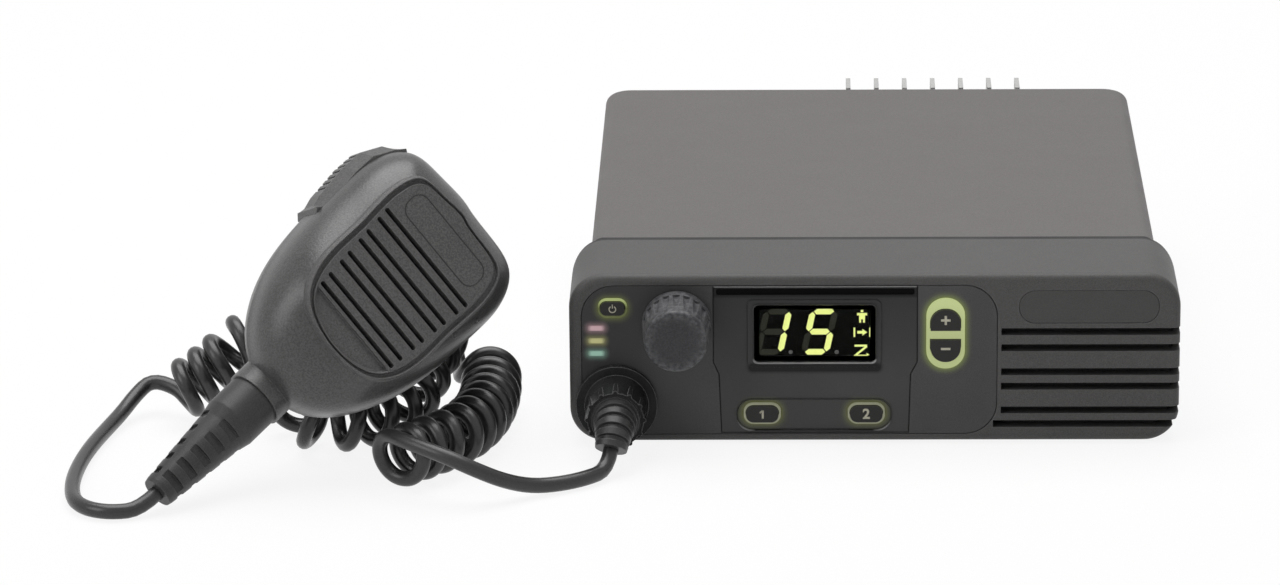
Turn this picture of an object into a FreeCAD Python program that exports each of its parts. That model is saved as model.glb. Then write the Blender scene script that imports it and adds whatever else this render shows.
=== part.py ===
import FreeCAD, Part
import math
import os
import re
import Sketcher
from FreeCAD import Matrix, Placement, Rotation, Vector

# Mobile two-way radio with a fist microphone on a curly cord.
# X runs to the right, Y runs from the fascia to the cooling fins, Z is up.
# The origin is the centre of the radio's underside. All sizes are millimetres.

SIZES = {
    # radio body
    "front_depth": 103.0, "seam_depth": 68.0, "cover_rear": 91.0, "fin_tip": 103.0,
    "body_half": 82.0, "body_height": 50.6, "plinth_height": 12.0, "cover_wall": 1.8,
    "cover_gap": 0.2, "cover_corner": 8.0, "cover_edge": 3.5, "seam_gap": 0.3,
    "chassis_wall": 5.0, "chassis_floor": 5.0, "chassis_front": 67.0,
    "fin_first": 5.6, "fin_pitch": 8.9, "fin_count": 7, "fin_thick": 1.4, "fin_low": 3.0,
    "fin_high": 50.0, "rear_window_left": 66.0, "rear_window_right": 76.0,
    "rear_window_top": 46.8, "bracket_front": 10.0, "bracket_rear": 25.0, "bracket_level": 28.0,
    "bracket_boss": 6.0, "bracket_thread": 2.1, "bracket_depth": 9.0, "boss_proud": 0.3,
    "drill_angle": 59.0,
    "cover_screw_front": 50.0, "cover_screw_rear": 70.0, "cover_screw_level": 20.0,
    "cover_screw_shank": 1.45, "cover_screw_head": 2.8, "cover_screw_cap": 1.2,
    "cover_screw_length": 6.0, "screw_clearance": 0.05,
    # main board
    "board_thick": 1.6, "board_gap": 2.0, "board_front": 60.0, "board_rear": 80.0,
    "standoff_height": 4.0, "standoff_radius": 3.0, "board_screw_shank": 1.2,
    "board_screw_head": 2.4, "board_screw_cap": 1.3, "board_screw_edge": 5.0,
    "shield_left": 20.0, "shield_right": 60.0, "shield_front": 25.0, "shield_rear": 55.0,
    "shield_height": 9.0, "shield_sheet": 0.6,
    # rear sockets
    "antenna_across": 62.0, "antenna_level": 30.0, "antenna_barrel": 4.75,
    "antenna_bore": 3.6, "antenna_length": 13.0, "antenna_flange": 7.5, "antenna_nut": 2.5,
    "antenna_shank": 4.2, "contact_radius": 0.9,
    "socket_across": 40.0, "accessory_half": 17.0, "accessory_low": 25.0,
    "accessory_high": 38.0, "power_half": 9.0, "power_low": 14.0, "power_high": 23.0,
    "socket_wall": 1.5, "socket_depth": 14.0, "socket_proud": 3.0, "socket_floor": 2.0,
    "pin_half": 0.4, "pin_length": 6.0, "pin_pitch": 3.4, "power_pin_half": 1.0,
    "power_pin_across": 4.0,
    # control head
    "head_half": 87.5, "head_low": 0.4, "head_high": 50.8, "head_corner": 10.0,
    "head_wall": 2.2, "face_thick": 4.0, "head_front_edge": 2.2, "head_rear_corner": 6.0,
    "back_plate": 2.5, "back_gap": 0.1, "back_window_half": 60.0, "head_screw_edge": 5.5,
    "head_boss_length": 14.0,
    "head_screw_low": 12.0, "head_screw_high": 38.0, "head_boss": 3.4, "head_pilot": 1.05,
    "head_screw_shank": 1.0, "head_screw_head": 2.1, "head_screw_cap": 1.4,
    "head_screw_length": 8.0,
    "seal_half": 77.0, "seal_low": 5.0, "seal_high": 45.0, "seal_width": 3.0,
    # fascia
    "fascia_left": 83.9, "fascia_right": 35.1, "fascia_low": 2.9, "fascia_high": 47.7,
    "fascia_corner": 9.5, "fascia_thick": 2.0, "fascia_ledge": 1.5, "fascia_gap": 0.15,
    "centre_left": 46.1, "centre_left_low": 43.8, "centre_right": 12.2,
    "centre_right_low": 9.8, "centre_high": 47.3, "centre_low": 3.3, "centre_jog_high": 24.6,
    "centre_jog_low": 20.9, "centre_thick": 1.0, "centre_sunk": 0.2, "bezel_proud": 0.5,
    "band_low": 44.9, "band_depth": 0.5,
    "bezel_left": 36.4, "bezel_right": 1.9, "bezel_low": 23.2, "bezel_high": 43.4,
    "window_left": 34.5, "window_right": 0.3, "window_low": 24.7, "window_high": 41.9,
    "window_corner": 1.2, "window_thick": 1.5, "display_margin": 1.5,
    "key_trough_left": 39.5, "key_trough_right": 4.9, "key_trough_low": 4.0,
    "key_trough_high": 13.4, "key_trough_depth": 0.35,
    # keys and their light rings: centre, half width, half height, corner
    "power_x": 74.95, "power_z": 41.1, "power_ring_wide": 4.25, "power_ring_tall": 3.0,
    "power_cap_wide": 3.5, "power_cap_tall": 2.0,
    "side_key_left": 32.2, "side_key_right": 2.3, "side_key_z": 9.1, "side_ring_wide": 5.4,
    "side_ring_tall": 3.15, "side_cap_wide": 4.65, "side_cap_tall": 2.45,
    "channel_x": 20.35, "channel_low": 22.7, "channel_high": 44.0, "channel_ring_wide": 5.55,
    "channel_key_wide": 4.3, "up_low": 34.3, "up_high": 40.6, "down_low": 24.9,
    "down_high": 31.5, "key_gap": 0.2, "ring_gap": 0.05, "key_proud": 1.0, "ring_proud": 0.3,
    "key_flange": 1.0, "flange_step": 0.35, "flange_gap": 0.1,
    "mat_thick": 1.0, "mat_gap": 0.1,
    # lights, knob and encoder
    "light_left": 82.1, "light_right": 77.3, "light_first": 35.0, "light_pitch": 3.8,
    "light_tall": 1.6, "light_count": 3,
    "knob_x": 56.6, "knob_z": 36.3, "knob_base": 10.05, "knob_length": 16.3,
    "knob_taper": 3.6, "knob_front_edge": 1.2, "knob_gap": 0.4, "flute_radius": 1.25,
    "flute_count": 20, "shaft_radius": 3.0, "shaft_reach": 10.0, "shaft_gap": 0.05,
    "bush_radius": 4.2, "bush_length": 2.4, "encoder_half": 6.0,
    # speaker
    "speaker_x": 60.0, "speaker_z": 25.5, "speaker_radius": 19.5, "speaker_depth": 6.0,
    "speaker_rim": 1.2, "magnet_radius": 11.0, "magnet_depth": 7.0, "cone_sheet": 0.5,
    "cloth_thick": 0.4, "slot_height": 2.1, "slot_left": 36.3, "slot_depth": 6.5,
    "slot_one": 33.7, "slot_two": 28.85, "slot_three": 21.6, "slot_four": 17.2,
    "slot_five": 10.0, "slot_six": 5.85,
    "plate_left": 41.3, "plate_right": 81.4, "plate_low": 36.2, "plate_high": 46.1,
    "plate_recess": 0.6, "plate_thick": 0.5, "plate_gap": 0.1, "plate_corner": 4.7,
    # microphone plug
    "plug_x": 74.0, "plug_z": 12.2, "jack_radius": 7.5, "jack_bore": 6.0, "jack_depth": 4.2,
    "plug_nose": 5.9, "plug_barrel": 7.0, "collar_gap": 0.1, "collar_flange": 11.7,
    "collar_flange_thick": 1.6, "collar_back": 9.3, "collar_front": 8.1,
    "collar_length": 15.0, "panel_gap": 0.3, "grip_count": 12, "grip_radius": 0.7,
    "plug_length": 15.8,
    "boot_rings": 4, "boot_base": 6.5, "boot_tip": 4.6, "boot_groove": 0.9,
    "boot_radius": 12.6, "boot_bend": 54.0, "boot_swing": 12.0,
    # microphone, in its own frame: along the boot's axis and square to the front
    "mic_x": -201.2, "mic_y": -159.4, "mic_z": 5.54, "mic_boot_length": 42.3,
    "mic_top": 82.2, "mic_half": 28.9, "mic_shoulder": 28.0, "mic_front": 26.0,
    "mic_back": 9.0, "mic_parting": 3.0, "mic_wall": 2.0, "mic_face": 23.0,
    "neck_radius": 8.9, "neck_bore": 6.2, "neck_length": 2.0, "spigot_gap": 0.1,
    "boot_big": 8.2, "boot_small": 4.6, "pocket_rows": 5, "pocket_depth": 1.3,
    "pocket_width": 3.4, "pocket_length": 2.6, "pocket_pitch": 5.4,
    "grille_half_top": 17.6, "grille_half_low": 15.2, "grille_first": 55.5,
    "grille_last": 26.04, "grille_pair": 3.57, "grille_step": 8.63, "grille_slot": 1.5,
    "grille_pairs": 4, "dish_depth": 1.2, "groove_depth": 1.1,
    "talk_low": 44.8, "talk_high": 79.4, "talk_back": -3.5, "talk_front": 10.0,
    "talk_outer": 31.4, "talk_inner": 25.0, "talk_gap": 0.35, "talk_travel": 1.5,
    "talk_bevel": 2.4, "talk_ribs": 7, "talk_rib_pitch": 2.3, "talk_rib_depth": 0.8,
    "switch_gap": 0.2, "mic_board_half": 19.0, "mic_board_low": 22.0,
    "mic_board_high": 66.0, "mic_board_level": 4.5, "capsule_radius": 5.0,
    "capsule_v": 40.0, "capsule_length": 5.0, "holder_wall": 1.6, "mic_cloth": 0.4,
    "hang_v": 48.0, "hang_neck": 4.0, "hang_head": 8.0, "hang_reach": 4.5,
    "hang_head_thick": 2.0, "mic_screw_low": 22.0,
    "mic_screw_high": 66.0, "mic_screw_head": 2.4, "mic_screw_sunk": 1.6,
    "mic_screw_shank": 1.2, "mic_screw_length": 9.0,
    # cord
    "cord_diameter": 4.4, "cord_sides": 6, "curl_radius": 6.8, "curl_gap": 1.2,
}

# The microphone's axes seen from the radio: across the slots, along the boot, out of the front.
MIC_ACROSS = Vector(0.6119, -0.0261, -0.7905)
MIC_ALONG = Vector(0.6358, 0.6106, 0.4721)
MIC_OUT = Vector(0.4704, -0.7915, 0.3902)

doc = FreeCAD.newDocument("two_way_radio")
sheet = doc.addObject("Spreadsheet::Sheet", "sizes")
for row, (alias, amount) in enumerate(SIZES.items(), start=1):
    sheet.set(f"A{row}", alias)
    sheet.set(f"B{row}", str(amount))
    sheet.setAlias(f"B{row}", alias)
doc.recompute()

nodes = []


def size(alias):
    """A driving size, read from the sheet."""
    return float(sheet.get(alias))


def rule(text):
    """The text of an expression, with every size name pointed at the sheet."""
    return re.sub(r"[a-z][a-z_]*", lambda word: "sizes." + word.group(0)
                  if word.group(0) in SIZES else word.group(0), text)


def number(text):
    """The value of a sum such as 'a + b - c / 2', worked out from the sheet."""
    total = 0.0
    for sign, term in re.findall(r"([+-]?)\s*([^+\-]+)", text):
        product = 1.0
        for operator, factor in re.findall(r"([*/]?)\s*([^*/\s]+)", term):
            amount = size(factor) if factor in SIZES else float(factor)
            product = product / amount if operator == "/" else product * amount
        total += -product if sign == "-" else product
    return total


def opposite(text):
    """The same sum with every sign turned round. The first term has no sign."""
    return "-" + text.translate(str.maketrans("+-", "-+"))


def between(low, high):
    """The expression for the distance from one place to another."""
    return rule(f"({high}) - ({low})")


def place(piece, where):
    """Tie a piece's position to three expressions."""
    for axis, text in zip("xyz", where):
        piece.setExpression(f"Placement.Base.{axis}", rule(text))


def node(label, piece):
    """Mark a piece as one of the object's own parts."""
    piece.Label = label
    nodes.append(piece)
    return piece


def box(name, across, depth, height):
    """A box between pairs of expressions on X, Y and Z."""
    piece = doc.addObject("Part::Box", name)
    for side, (low, high) in zip(("Length", "Width", "Height"), (across, depth, height)):
        piece.setExpression(side, between(low, high))
    place(piece, (across[0], depth[0], height[0]))
    return piece


TURNS = {"z": Rotation(), "y": Rotation(Vector(1, 0, 0), -90), "-y": Rotation(Vector(1, 0, 0), 90),
         "x": Rotation(Vector(0, 1, 0), 90), "-x": Rotation(Vector(0, 1, 0), -90)}


def rod(name, axis, where, radius, length):
    """A round bar from a point along an axis."""
    piece = doc.addObject("Part::Cylinder", name)
    piece.setExpression("Radius", rule(radius))
    piece.setExpression("Height", rule(length))
    piece.Placement = Placement(Vector(), TURNS[axis])
    place(piece, where)
    return piece


def cone(name, axis, where, radius, far_radius, length):
    """A tapered bar from a point along an axis."""
    piece = doc.addObject("Part::Cone", name)
    piece.setExpression("Radius1", rule(radius))
    piece.setExpression("Radius2", rule(far_radius))
    piece.setExpression("Height", rule(length))
    piece.Placement = Placement(Vector(), TURNS[axis])
    place(piece, where)
    return piece


def fuse(name, pieces):
    """One solid, or one group, from several."""
    if len(pieces) == 1:
        return pieces[0]
    joined = doc.addObject("Part::MultiFuse", name)
    joined.Shapes = pieces
    return joined


def cut(name, base, tools):
    """A base with tools taken away."""
    result = doc.addObject("Part::Cut", name)
    result.Base = base
    result.Tool = fuse(name + "_tools", tools)
    return result


def common(name, first, second):
    """What two solids share."""
    result = doc.addObject("Part::Common", name)
    result.Base = first
    result.Tool = second
    return result


def rounded(name, base, radius, chosen):
    """Round the edges that the test picks."""
    doc.recompute()
    edges = [(index, number(radius), number(radius))
             for index, edge in enumerate(base.Shape.Edges, start=1) if chosen(edge)]
    result = doc.addObject("Part::Fillet", name)
    result.Base = base
    result.Edges = edges
    return result


def along(axis):
    """A test for straight edges that run along one axis."""
    other = [index for index in range(3) if index != axis]

    def test(edge):
        reach = edge.BoundBox
        spans = (reach.XLength, reach.YLength, reach.ZLength)
        return all(spans[index] < 1e-6 for index in other)
    return test


def pill(name, across, depth, height, radius):
    """A box whose four edges along Y are rounded."""
    return rounded(name, box(name + "_block", across, depth, height), radius, along(1))


def frame(middle, half):
    """The pair of expressions either side of a middle."""
    return (f"{middle} - {half}", f"{middle} + {half}")


def body(label):
    """A part design body that is one of the object's own parts."""
    return node(label, doc.addObject("PartDesign::Body", label))


def sketch_on(part, name, plane, offset):
    """A sketch on one of the body's own planes, moved along that plane's normal."""
    sketch = part.newObject("Sketcher::SketchObject", name)
    origin = next(item for item in part.Origin.OriginFeatures if item.Role == plane)
    sketch.AttachmentSupport = [(origin, "")]
    sketch.MapMode = "FlatFace"
    sketch.setExpression("AttachmentOffset.Base.z", rule(offset))
    return sketch


def tie(sketch, kind, *links):
    """Add a driving distance and bind it to the sheet. The last link is the expression."""
    text = links[-1]
    index = sketch.addConstraint(Sketcher.Constraint(kind, *links[:-1], number(text)))
    sketch.setExpression(f"Constraints[{index}]", rule(text))


def draw_polygon(sketch, corners):
    """Straight lines through corners, each corner tied to two expressions."""
    points = [Vector(number(x), number(y), 0) for x, y in corners]
    first = sketch.GeometryCount
    for here, there in zip(points, points[1:] + points[:1]):
        sketch.addGeometry(Part.LineSegment(here, there), False)
    count = len(points)
    for index in range(count):
        after = first + (index + 1) % count
        sketch.addConstraint(Sketcher.Constraint("Coincident", first + index, 2, after, 1))
    for index, (x, y) in enumerate(corners):
        tie(sketch, "DistanceX", -1, 1, first + index, 1, x)
        tie(sketch, "DistanceY", -1, 1, first + index, 1, y)


def draw_rounded(sketch, across, height, radius):
    """A rectangle with four equal round corners, tied to expressions."""
    left, right = (number(text) for text in across)
    low, high = (number(text) for text in height)
    r = number(radius)
    first = sketch.GeometryCount
    lines = [((left + r, low), (right - r, low)), ((right, low + r), (right, high - r)),
             ((right - r, high), (left + r, high)), ((left, high - r), (left, low + r))]
    corners = [((right - r, low + r), -90), ((right - r, high - r), 0),
               ((left + r, high - r), 90), ((left + r, low + r), 180)]
    for start, end in lines:
        sketch.addGeometry(Part.LineSegment(Vector(*start, 0), Vector(*end, 0)), False)
    for centre, start in corners:
        circle = Part.Circle(Vector(*centre, 0), Vector(0, 0, 1), r)
        sketch.addGeometry(Part.ArcOfCircle(circle, math.radians(start),
                                            math.radians(start + 90)), False)
    for side in range(4):
        arc = first + 4 + side
        after = first + (side + 1) % 4
        sketch.addConstraint(Sketcher.Constraint("Tangent", first + side, 2, arc, 1))
        sketch.addConstraint(Sketcher.Constraint("Tangent", arc, 2, after, 1))
        level = "Horizontal" if side % 2 == 0 else "Vertical"
        sketch.addConstraint(Sketcher.Constraint(level, first + side))
    for side in range(1, 4):
        sketch.addConstraint(Sketcher.Constraint("Equal", first + 4, first + 4 + side))
    tie(sketch, "Radius", first + 4, radius)
    tie(sketch, "DistanceX", -1, 1, first + 3, 1, across[0])
    tie(sketch, "DistanceX", -1, 1, first + 1, 1, across[1])
    tie(sketch, "DistanceY", -1, 1, first, 1, height[0])
    tie(sketch, "DistanceY", -1, 1, first + 2, 1, height[1])


def draw_circle(sketch, x, y, radius):
    """A circle tied to its centre and radius."""
    first = sketch.GeometryCount
    sketch.addGeometry(Part.Circle(Vector(number(x), number(y), 0), Vector(0, 0, 1),
                                   number(radius)), False)
    tie(sketch, "DistanceX", -1, 1, first, 3, x)
    tie(sketch, "DistanceY", -1, 1, first, 3, y)
    tie(sketch, "Radius", first, radius)


def pad(part, sketch, length, reverse=False):
    """Raise a sketch into a solid."""
    feature = part.newObject("PartDesign::Pad", sketch.Name + "_pad")
    feature.Profile = sketch
    feature.setExpression("Length", rule(length))
    feature.Reversed = reverse
    sketch.Visibility = False
    return feature


def pocket(part, sketch, length, reverse=False):
    """Sink a sketch into the solid."""
    feature = part.newObject("PartDesign::Pocket", sketch.Name + "_pocket")
    feature.Profile = sketch
    feature.setExpression("Length", rule(length))
    feature.Reversed = reverse
    sketch.Visibility = False
    return feature


FRONT = "-front_depth"
FASCIA_REAR = "-front_depth + fascia_thick"
FACE_REAR = "-front_depth + face_thick"
BOARD_SIDE = "body_half - cover_wall - cover_gap - chassis_wall - board_gap"
BOARD_SCREW_LINE = BOARD_SIDE + " - board_screw_edge"
HEAD_SCREW_LINE = "head_half - head_screw_edge"


def build_chassis():
    """Die-cast tray: plinth, walls, bosses, rear block and cooling fins."""
    part = body("chassis")
    plinth = sketch_on(part, "chassis_plinth", "XY_Plane", "0")
    draw_rounded(plinth, ("-body_half", "body_half"), ("-chassis_front", "cover_rear"), "3")
    pad(part, plinth, "plinth_height")
    wall_out = "body_half - cover_wall - cover_gap"
    walls = sketch_on(part, "chassis_walls", "XY_Plane", "plinth_height")
    draw_rounded(walls, ("-body_half + cover_wall + cover_gap", wall_out),
                 ("-chassis_front", "cover_rear - cover_wall - cover_gap"), "5")
    pad(part, walls, "body_height - cover_wall - cover_gap - plinth_height")
    rear_block = sketch_on(part, "chassis_rear_block", "XZ_Plane", "-cover_rear + cover_wall + 1")
    draw_rounded(rear_block, ("-rear_window_left + 0.3", "rear_window_right - 0.3"),
                 ("plinth_height - 1", "rear_window_top - 0.3"), "2")
    pad(part, rear_block, "cover_wall + 1", reverse=True)
    fin = sketch_on(part, "chassis_fin", "YZ_Plane", "-fin_first - fin_thick / 2")
    draw_polygon(fin, [("cover_rear - 1", "fin_low"), ("fin_tip", "fin_low + 3"),
                       ("fin_tip", "fin_high"), ("cover_rear + 1", "fin_high"),
                       ("cover_rear + 1", "rear_window_top - 1"),
                       ("cover_rear - 1", "rear_window_top - 1")])
    first_fin = pad(part, fin, "fin_thick")
    row = part.newObject("PartDesign::LinearPattern", "chassis_fins")
    row.Originals = [first_fin]
    row.Direction = (next(item for item in part.Origin.OriginFeatures
                          if item.Role == "X_Axis"), [""])
    row.setExpression("Length", rule("fin_pitch * (fin_count - 1)"))
    row.setExpression("Occurrences", rule("fin_count"))
    part.Tip = row
    well = sketch_on(part, "chassis_well", "XY_Plane", "chassis_floor")
    draw_rounded(well, ("-body_half + cover_wall + cover_gap + chassis_wall",
                        "body_half - cover_wall - cover_gap - chassis_wall"),
                 ("-chassis_front + chassis_wall",
                  "cover_rear - cover_wall - cover_gap - chassis_wall"), "3")
    pocket(part, well, "body_height", reverse=True)
    standoffs = sketch_on(part, "chassis_standoffs", "XY_Plane", "chassis_floor - 1")
    for x, y in BOARD_SCREWS:
        draw_circle(standoffs, x, y, "standoff_radius")
    pad(part, standoffs, "standoff_height + 1")
    pilots = sketch_on(part, "chassis_pilots", "XY_Plane", "chassis_floor + standoff_height")
    for x, y in BOARD_SCREWS:
        draw_circle(pilots, x, y, "board_screw_shank + screw_clearance")
    pocket(part, pilots, "6")
    boss_outer = "body_half + boss_proud"
    bosses = sketch_on(part, "chassis_bosses", "YZ_Plane", "-body_half - boss_proud")
    for y in BRACKET_PLACES:
        draw_circle(bosses, y, "bracket_level", "bracket_boss")
    pad(part, bosses, "bracket_depth + 3")
    right_bosses = sketch_on(part, "chassis_right_bosses", "YZ_Plane", boss_outer)
    for y in BRACKET_PLACES:
        draw_circle(right_bosses, y, "bracket_level", "bracket_boss")
    pad(part, right_bosses, "bracket_depth + 3", reverse=True)
    threads = sketch_on(part, "chassis_threads", "YZ_Plane", "-body_half - boss_proud")
    for y in BRACKET_PLACES:
        draw_circle(threads, y, "bracket_level", "bracket_thread")
    pocket(part, threads, "bracket_depth", reverse=True)
    right_threads = sketch_on(part, "chassis_right_threads", "YZ_Plane", boss_outer)
    for y in BRACKET_PLACES:
        draw_circle(right_threads, y, "bracket_level", "bracket_thread")
    pocket(part, right_threads, "bracket_depth")
    point = "bracket_thread * 0.95 / tan(drill_angle * 1 deg)"
    points = sketch_on(part, "chassis_drill_points", "YZ_Plane",
                       "-body_half - boss_proud + bracket_depth")
    right_points = sketch_on(part, "chassis_right_drill_points", "YZ_Plane",
                             boss_outer + " - bracket_depth")
    for sketch, inward in ((points, True), (right_points, False)):
        for y in BRACKET_PLACES:
            draw_circle(sketch, y, "bracket_level", "bracket_thread")
        sunk = pocket(part, sketch, point, reverse=inward)
        sunk.setExpression("TaperAngle", rule("-drill_angle"))
    side_holes = sketch_on(part, "chassis_side_holes", "YZ_Plane", "-body_half")
    right_holes = sketch_on(part, "chassis_right_holes", "YZ_Plane", "body_half")
    for sketch in (side_holes, right_holes):
        for y in COVER_SCREWS:
            draw_circle(sketch, y, "cover_screw_level", "cover_screw_shank + screw_clearance")
    pocket(part, side_holes, "cover_screw_length + 1", reverse=True)
    pocket(part, right_holes, "cover_screw_length + 1")
    sockets = sketch_on(part, "chassis_rear_openings", "XZ_Plane", "-cover_rear - 1")
    draw_circle(sockets, "antenna_across", "antenna_level", "antenna_shank + ring_gap")
    draw_rounded(sockets, ("-socket_across - accessory_half - ring_gap",
                           "-socket_across + accessory_half + ring_gap"),
                 ("accessory_low - ring_gap", "accessory_high + ring_gap"), "ring_gap")
    draw_rounded(sockets, ("-socket_across - power_half - ring_gap",
                           "-socket_across + power_half + ring_gap"),
                 ("power_low - ring_gap", "power_high + ring_gap"), "ring_gap")
    pocket(part, sockets, "chassis_wall + cover_wall + 3", reverse=True)
    window = sketch_on(part, "chassis_link_window", "XZ_Plane", "chassis_front + 1")
    draw_rounded(window, ("-18", "18"), ("16", "34"), "2")
    pocket(part, window, "chassis_wall + 2")


BOARD_SCREWS = [(opposite(BOARD_SCREW_LINE), "-board_front + 6"), (BOARD_SCREW_LINE, "-board_front + 6"),
                (opposite(BOARD_SCREW_LINE), "10"), (BOARD_SCREW_LINE, "10"),
                (opposite(BOARD_SCREW_LINE) + " + 8", "board_rear - 8"),
                (BOARD_SCREW_LINE, "board_rear - 8")]
BRACKET_PLACES = ["-bracket_front", "bracket_rear"]
COVER_SCREWS = ["-cover_screw_front", "cover_screw_rear"]


def build_cover():
    """Cover shell: top, sides and a rear rim round the cooling block."""
    front = "-seam_depth + seam_gap"
    block = box("cover_block", ("-body_half", "body_half"), (front, "cover_rear"),
                ("plinth_height + cover_gap", "body_height"))
    rear = size("cover_rear")
    top = size("body_height")
    upright = rounded("cover_corners", block, "cover_corner",
                      lambda edge: along(2)(edge) and abs(edge.BoundBox.YMax - rear) < 1e-6)
    outer = rounded("cover_rounded", upright, "cover_edge",
                    lambda edge: edge.BoundBox.ZMin > top - 1e-6
                    and edge.BoundBox.YMax > number(front) + 1)
    hollow = box("cover_hollow", ("-body_half + cover_wall", "body_half - cover_wall"),
                 (front + " - 1", "cover_rear - cover_wall"),
                 ("plinth_height - 1", "body_height - cover_wall"))
    tools = [hollow,
             box("cover_window", ("-rear_window_left", "rear_window_right"),
                 ("cover_rear - cover_wall - 1", "cover_rear + 1"),
                 ("plinth_height - 1", "rear_window_top"))]
    for side, axis in (("-", "-x"), ("", "x")):
        for number_, y in enumerate(COVER_SCREWS):
            tools.append(rod(f"cover_hole{axis}{number_}".replace("-", "_"), axis,
                             (side + "body_half " + ("+" if side else "-") + " 4", y,
                              "cover_screw_level"),
                             "cover_screw_shank + 0.2", "8"))
        for number_, y in enumerate(BRACKET_PLACES):
            tools.append(rod(f"cover_boss_hole{axis}{number_}".replace("-", "_"), axis,
                             (side + "body_half " + ("+" if side else "-") + " 4", y,
                              "bracket_level"),
                             "bracket_boss + 0.3", "8"))
    node("top_cover", cut("top_cover", outer, tools))


def build_cover_screws():
    """Four pan-head screws through the cover's sides."""
    screws = []
    for side, axis in ((-1, "x"), (1, "-x")):
        sign = "-" if side < 0 else ""
        back = "-" if side > 0 else "+"
        for y in COVER_SCREWS:
            tag = f"{'left' if side < 0 else 'right'}{'front' if '-' in y else 'rear'}"
            head = cone(f"cover_screw_head_{tag}", axis,
                        (f"{sign}body_half {'+' if side > 0 else '-'} cover_screw_cap", y,
                         "cover_screw_level"), "cover_screw_head - 0.6", "cover_screw_head",
                        "cover_screw_cap")
            shank = rod(f"cover_screw_shank_{tag}", axis,
                        (f"{sign}body_half", y, "cover_screw_level"),
                        "cover_screw_shank", "cover_screw_length")
            screws.append(fuse(f"cover_screw_{tag}", [head, shank]))
    node("cover_screws", fuse("cover_screws", screws))


def build_board():
    """Main board, its screws and the shielding can."""
    part = body("main_board")
    low = "chassis_floor + standoff_height"
    outline = sketch_on(part, "main_board_outline", "XY_Plane", low)
    draw_rounded(outline, (opposite(BOARD_SIDE), BOARD_SIDE), ("-board_front", "board_rear"), "3")
    pad(part, outline, "board_thick")
    holes = sketch_on(part, "main_board_holes", "XY_Plane", low + " + board_thick")
    for x, y in BOARD_SCREWS:
        draw_circle(holes, x, y, "board_screw_shank + 0.2")
    pocket(part, holes, "board_thick + 1")
    top = low + " + board_thick"
    screws = []
    for index, (x, y) in enumerate(BOARD_SCREWS):
        head = rod(f"board_screw_head_{index}", "z", (x, y, top), "board_screw_head",
                   "board_screw_cap")
        shank = rod(f"board_screw_shank_{index}", "z", (x, y, top + " - 5"),
                    "board_screw_shank", "5.2")
        screws.append(fuse(f"board_screw_{index}", [head, shank]))
    node("board_screws", fuse("board_screws", screws))
    shell = box("shield_block", ("-shield_left", "shield_right"),
                ("-shield_front", "shield_rear"), (top, top + " + shield_height"))
    hollow = box("shield_hollow", ("-shield_left + shield_sheet", "shield_right - shield_sheet"),
                 ("-shield_front + shield_sheet", "shield_rear - shield_sheet"),
                 (top + " - 1", top + " + shield_height - shield_sheet"))
    node("rf_shield", cut("rf_shield", shell, [hollow]))


def build_antenna():
    """Threaded antenna barrel with its insulator and centre contact."""
    spot = ("antenna_across", "cover_rear", "antenna_level")
    inner = ("antenna_across", "cover_rear - chassis_wall - 1", "antenna_level")
    barrel = fuse("antenna_outer", [
        rod("antenna_barrel", "y", spot, "antenna_barrel", "antenna_length"),
        rod("antenna_flange", "y", spot, "antenna_flange", "antenna_nut"),
        rod("antenna_shank", "y", inner, "antenna_shank", "chassis_wall + 2")])
    bore = rod("antenna_bore_tool", "y", ("antenna_across", "cover_rear - chassis_wall - 2",
                                          "antenna_level"), "antenna_bore",
               "antenna_length + chassis_wall + 4")
    node("antenna_socket", cut("antenna_socket", barrel, [bore]))
    plug = rod("insulator_rod", "y", inner, "antenna_bore - ring_gap", "chassis_wall + 4")
    hole = rod("insulator_hole", "y", ("antenna_across", "cover_rear - chassis_wall - 2",
                                       "antenna_level"), "contact_radius", "chassis_wall + 8")
    node("antenna_insulator", cut("antenna_insulator", plug, [hole]))
    node("antenna_contact", rod("antenna_contact", "y",
                                ("antenna_across", "cover_rear - chassis_wall - 1.5",
                                 "antenna_level"), "contact_radius",
                                "chassis_wall + antenna_length - 4"))


def build_socket(label, half, low, high):
    """A rectangular rear socket, open to the rear."""
    back = "cover_rear + socket_proud"
    shell = box(label + "_block", (f"-socket_across - {half}", f"-socket_across + {half}"),
                (back + " - socket_depth", back), (low, high))
    cavity = box(label + "_cavity",
                 (f"-socket_across - {half} + socket_wall", f"-socket_across + {half} - socket_wall"),
                 (back + " - socket_depth + socket_floor", back + " + 1"),
                 (low + " + socket_wall", high + " - socket_wall"))
    return cut(label + "_shell", shell, [cavity])


def build_rear_sockets():
    """Power socket and accessory socket with their pins."""
    back = "cover_rear + socket_proud"
    floor = back + " - socket_depth"
    for label, half, low, high, pin, columns, rows in (
            ("accessory", "accessory_half", "accessory_low", "accessory_high", "pin_half", 8, 2),
            ("power", "power_half", "power_low", "power_high", "power_pin_half", 2, 1)):
        pins = []
        holes = []
        step = "pin_pitch" if label == "accessory" else "power_pin_across * 2"
        for column in range(columns):
            for line in range(rows):
                x = f"-socket_across + {column - (columns - 1) / 2} * {step}"
                z = f"{low} / 2 + {high} / 2 + {line - (rows - 1) / 2} * 5"
                tag = f"{label}_{column}_{line}"
                span = ((f"{x} - {pin}", f"{x} + {pin}"), (f"{z} - {pin}", f"{z} + {pin}"))
                pins.append(box("pin_" + tag, span[0],
                                (floor + " - 2", floor + " + socket_floor + pin_length"), span[1]))
                holes.append(box("pin_hole_" + tag, span[0],
                                 (floor + " - 1", floor + " + socket_floor + 1"), span[1]))
        shell = build_socket(label, half, low, high)
        node(label + "_socket", cut(label + "_socket", shell, holes))
        node(label + "_pins", fuse(label + "_pins", pins))


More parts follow.
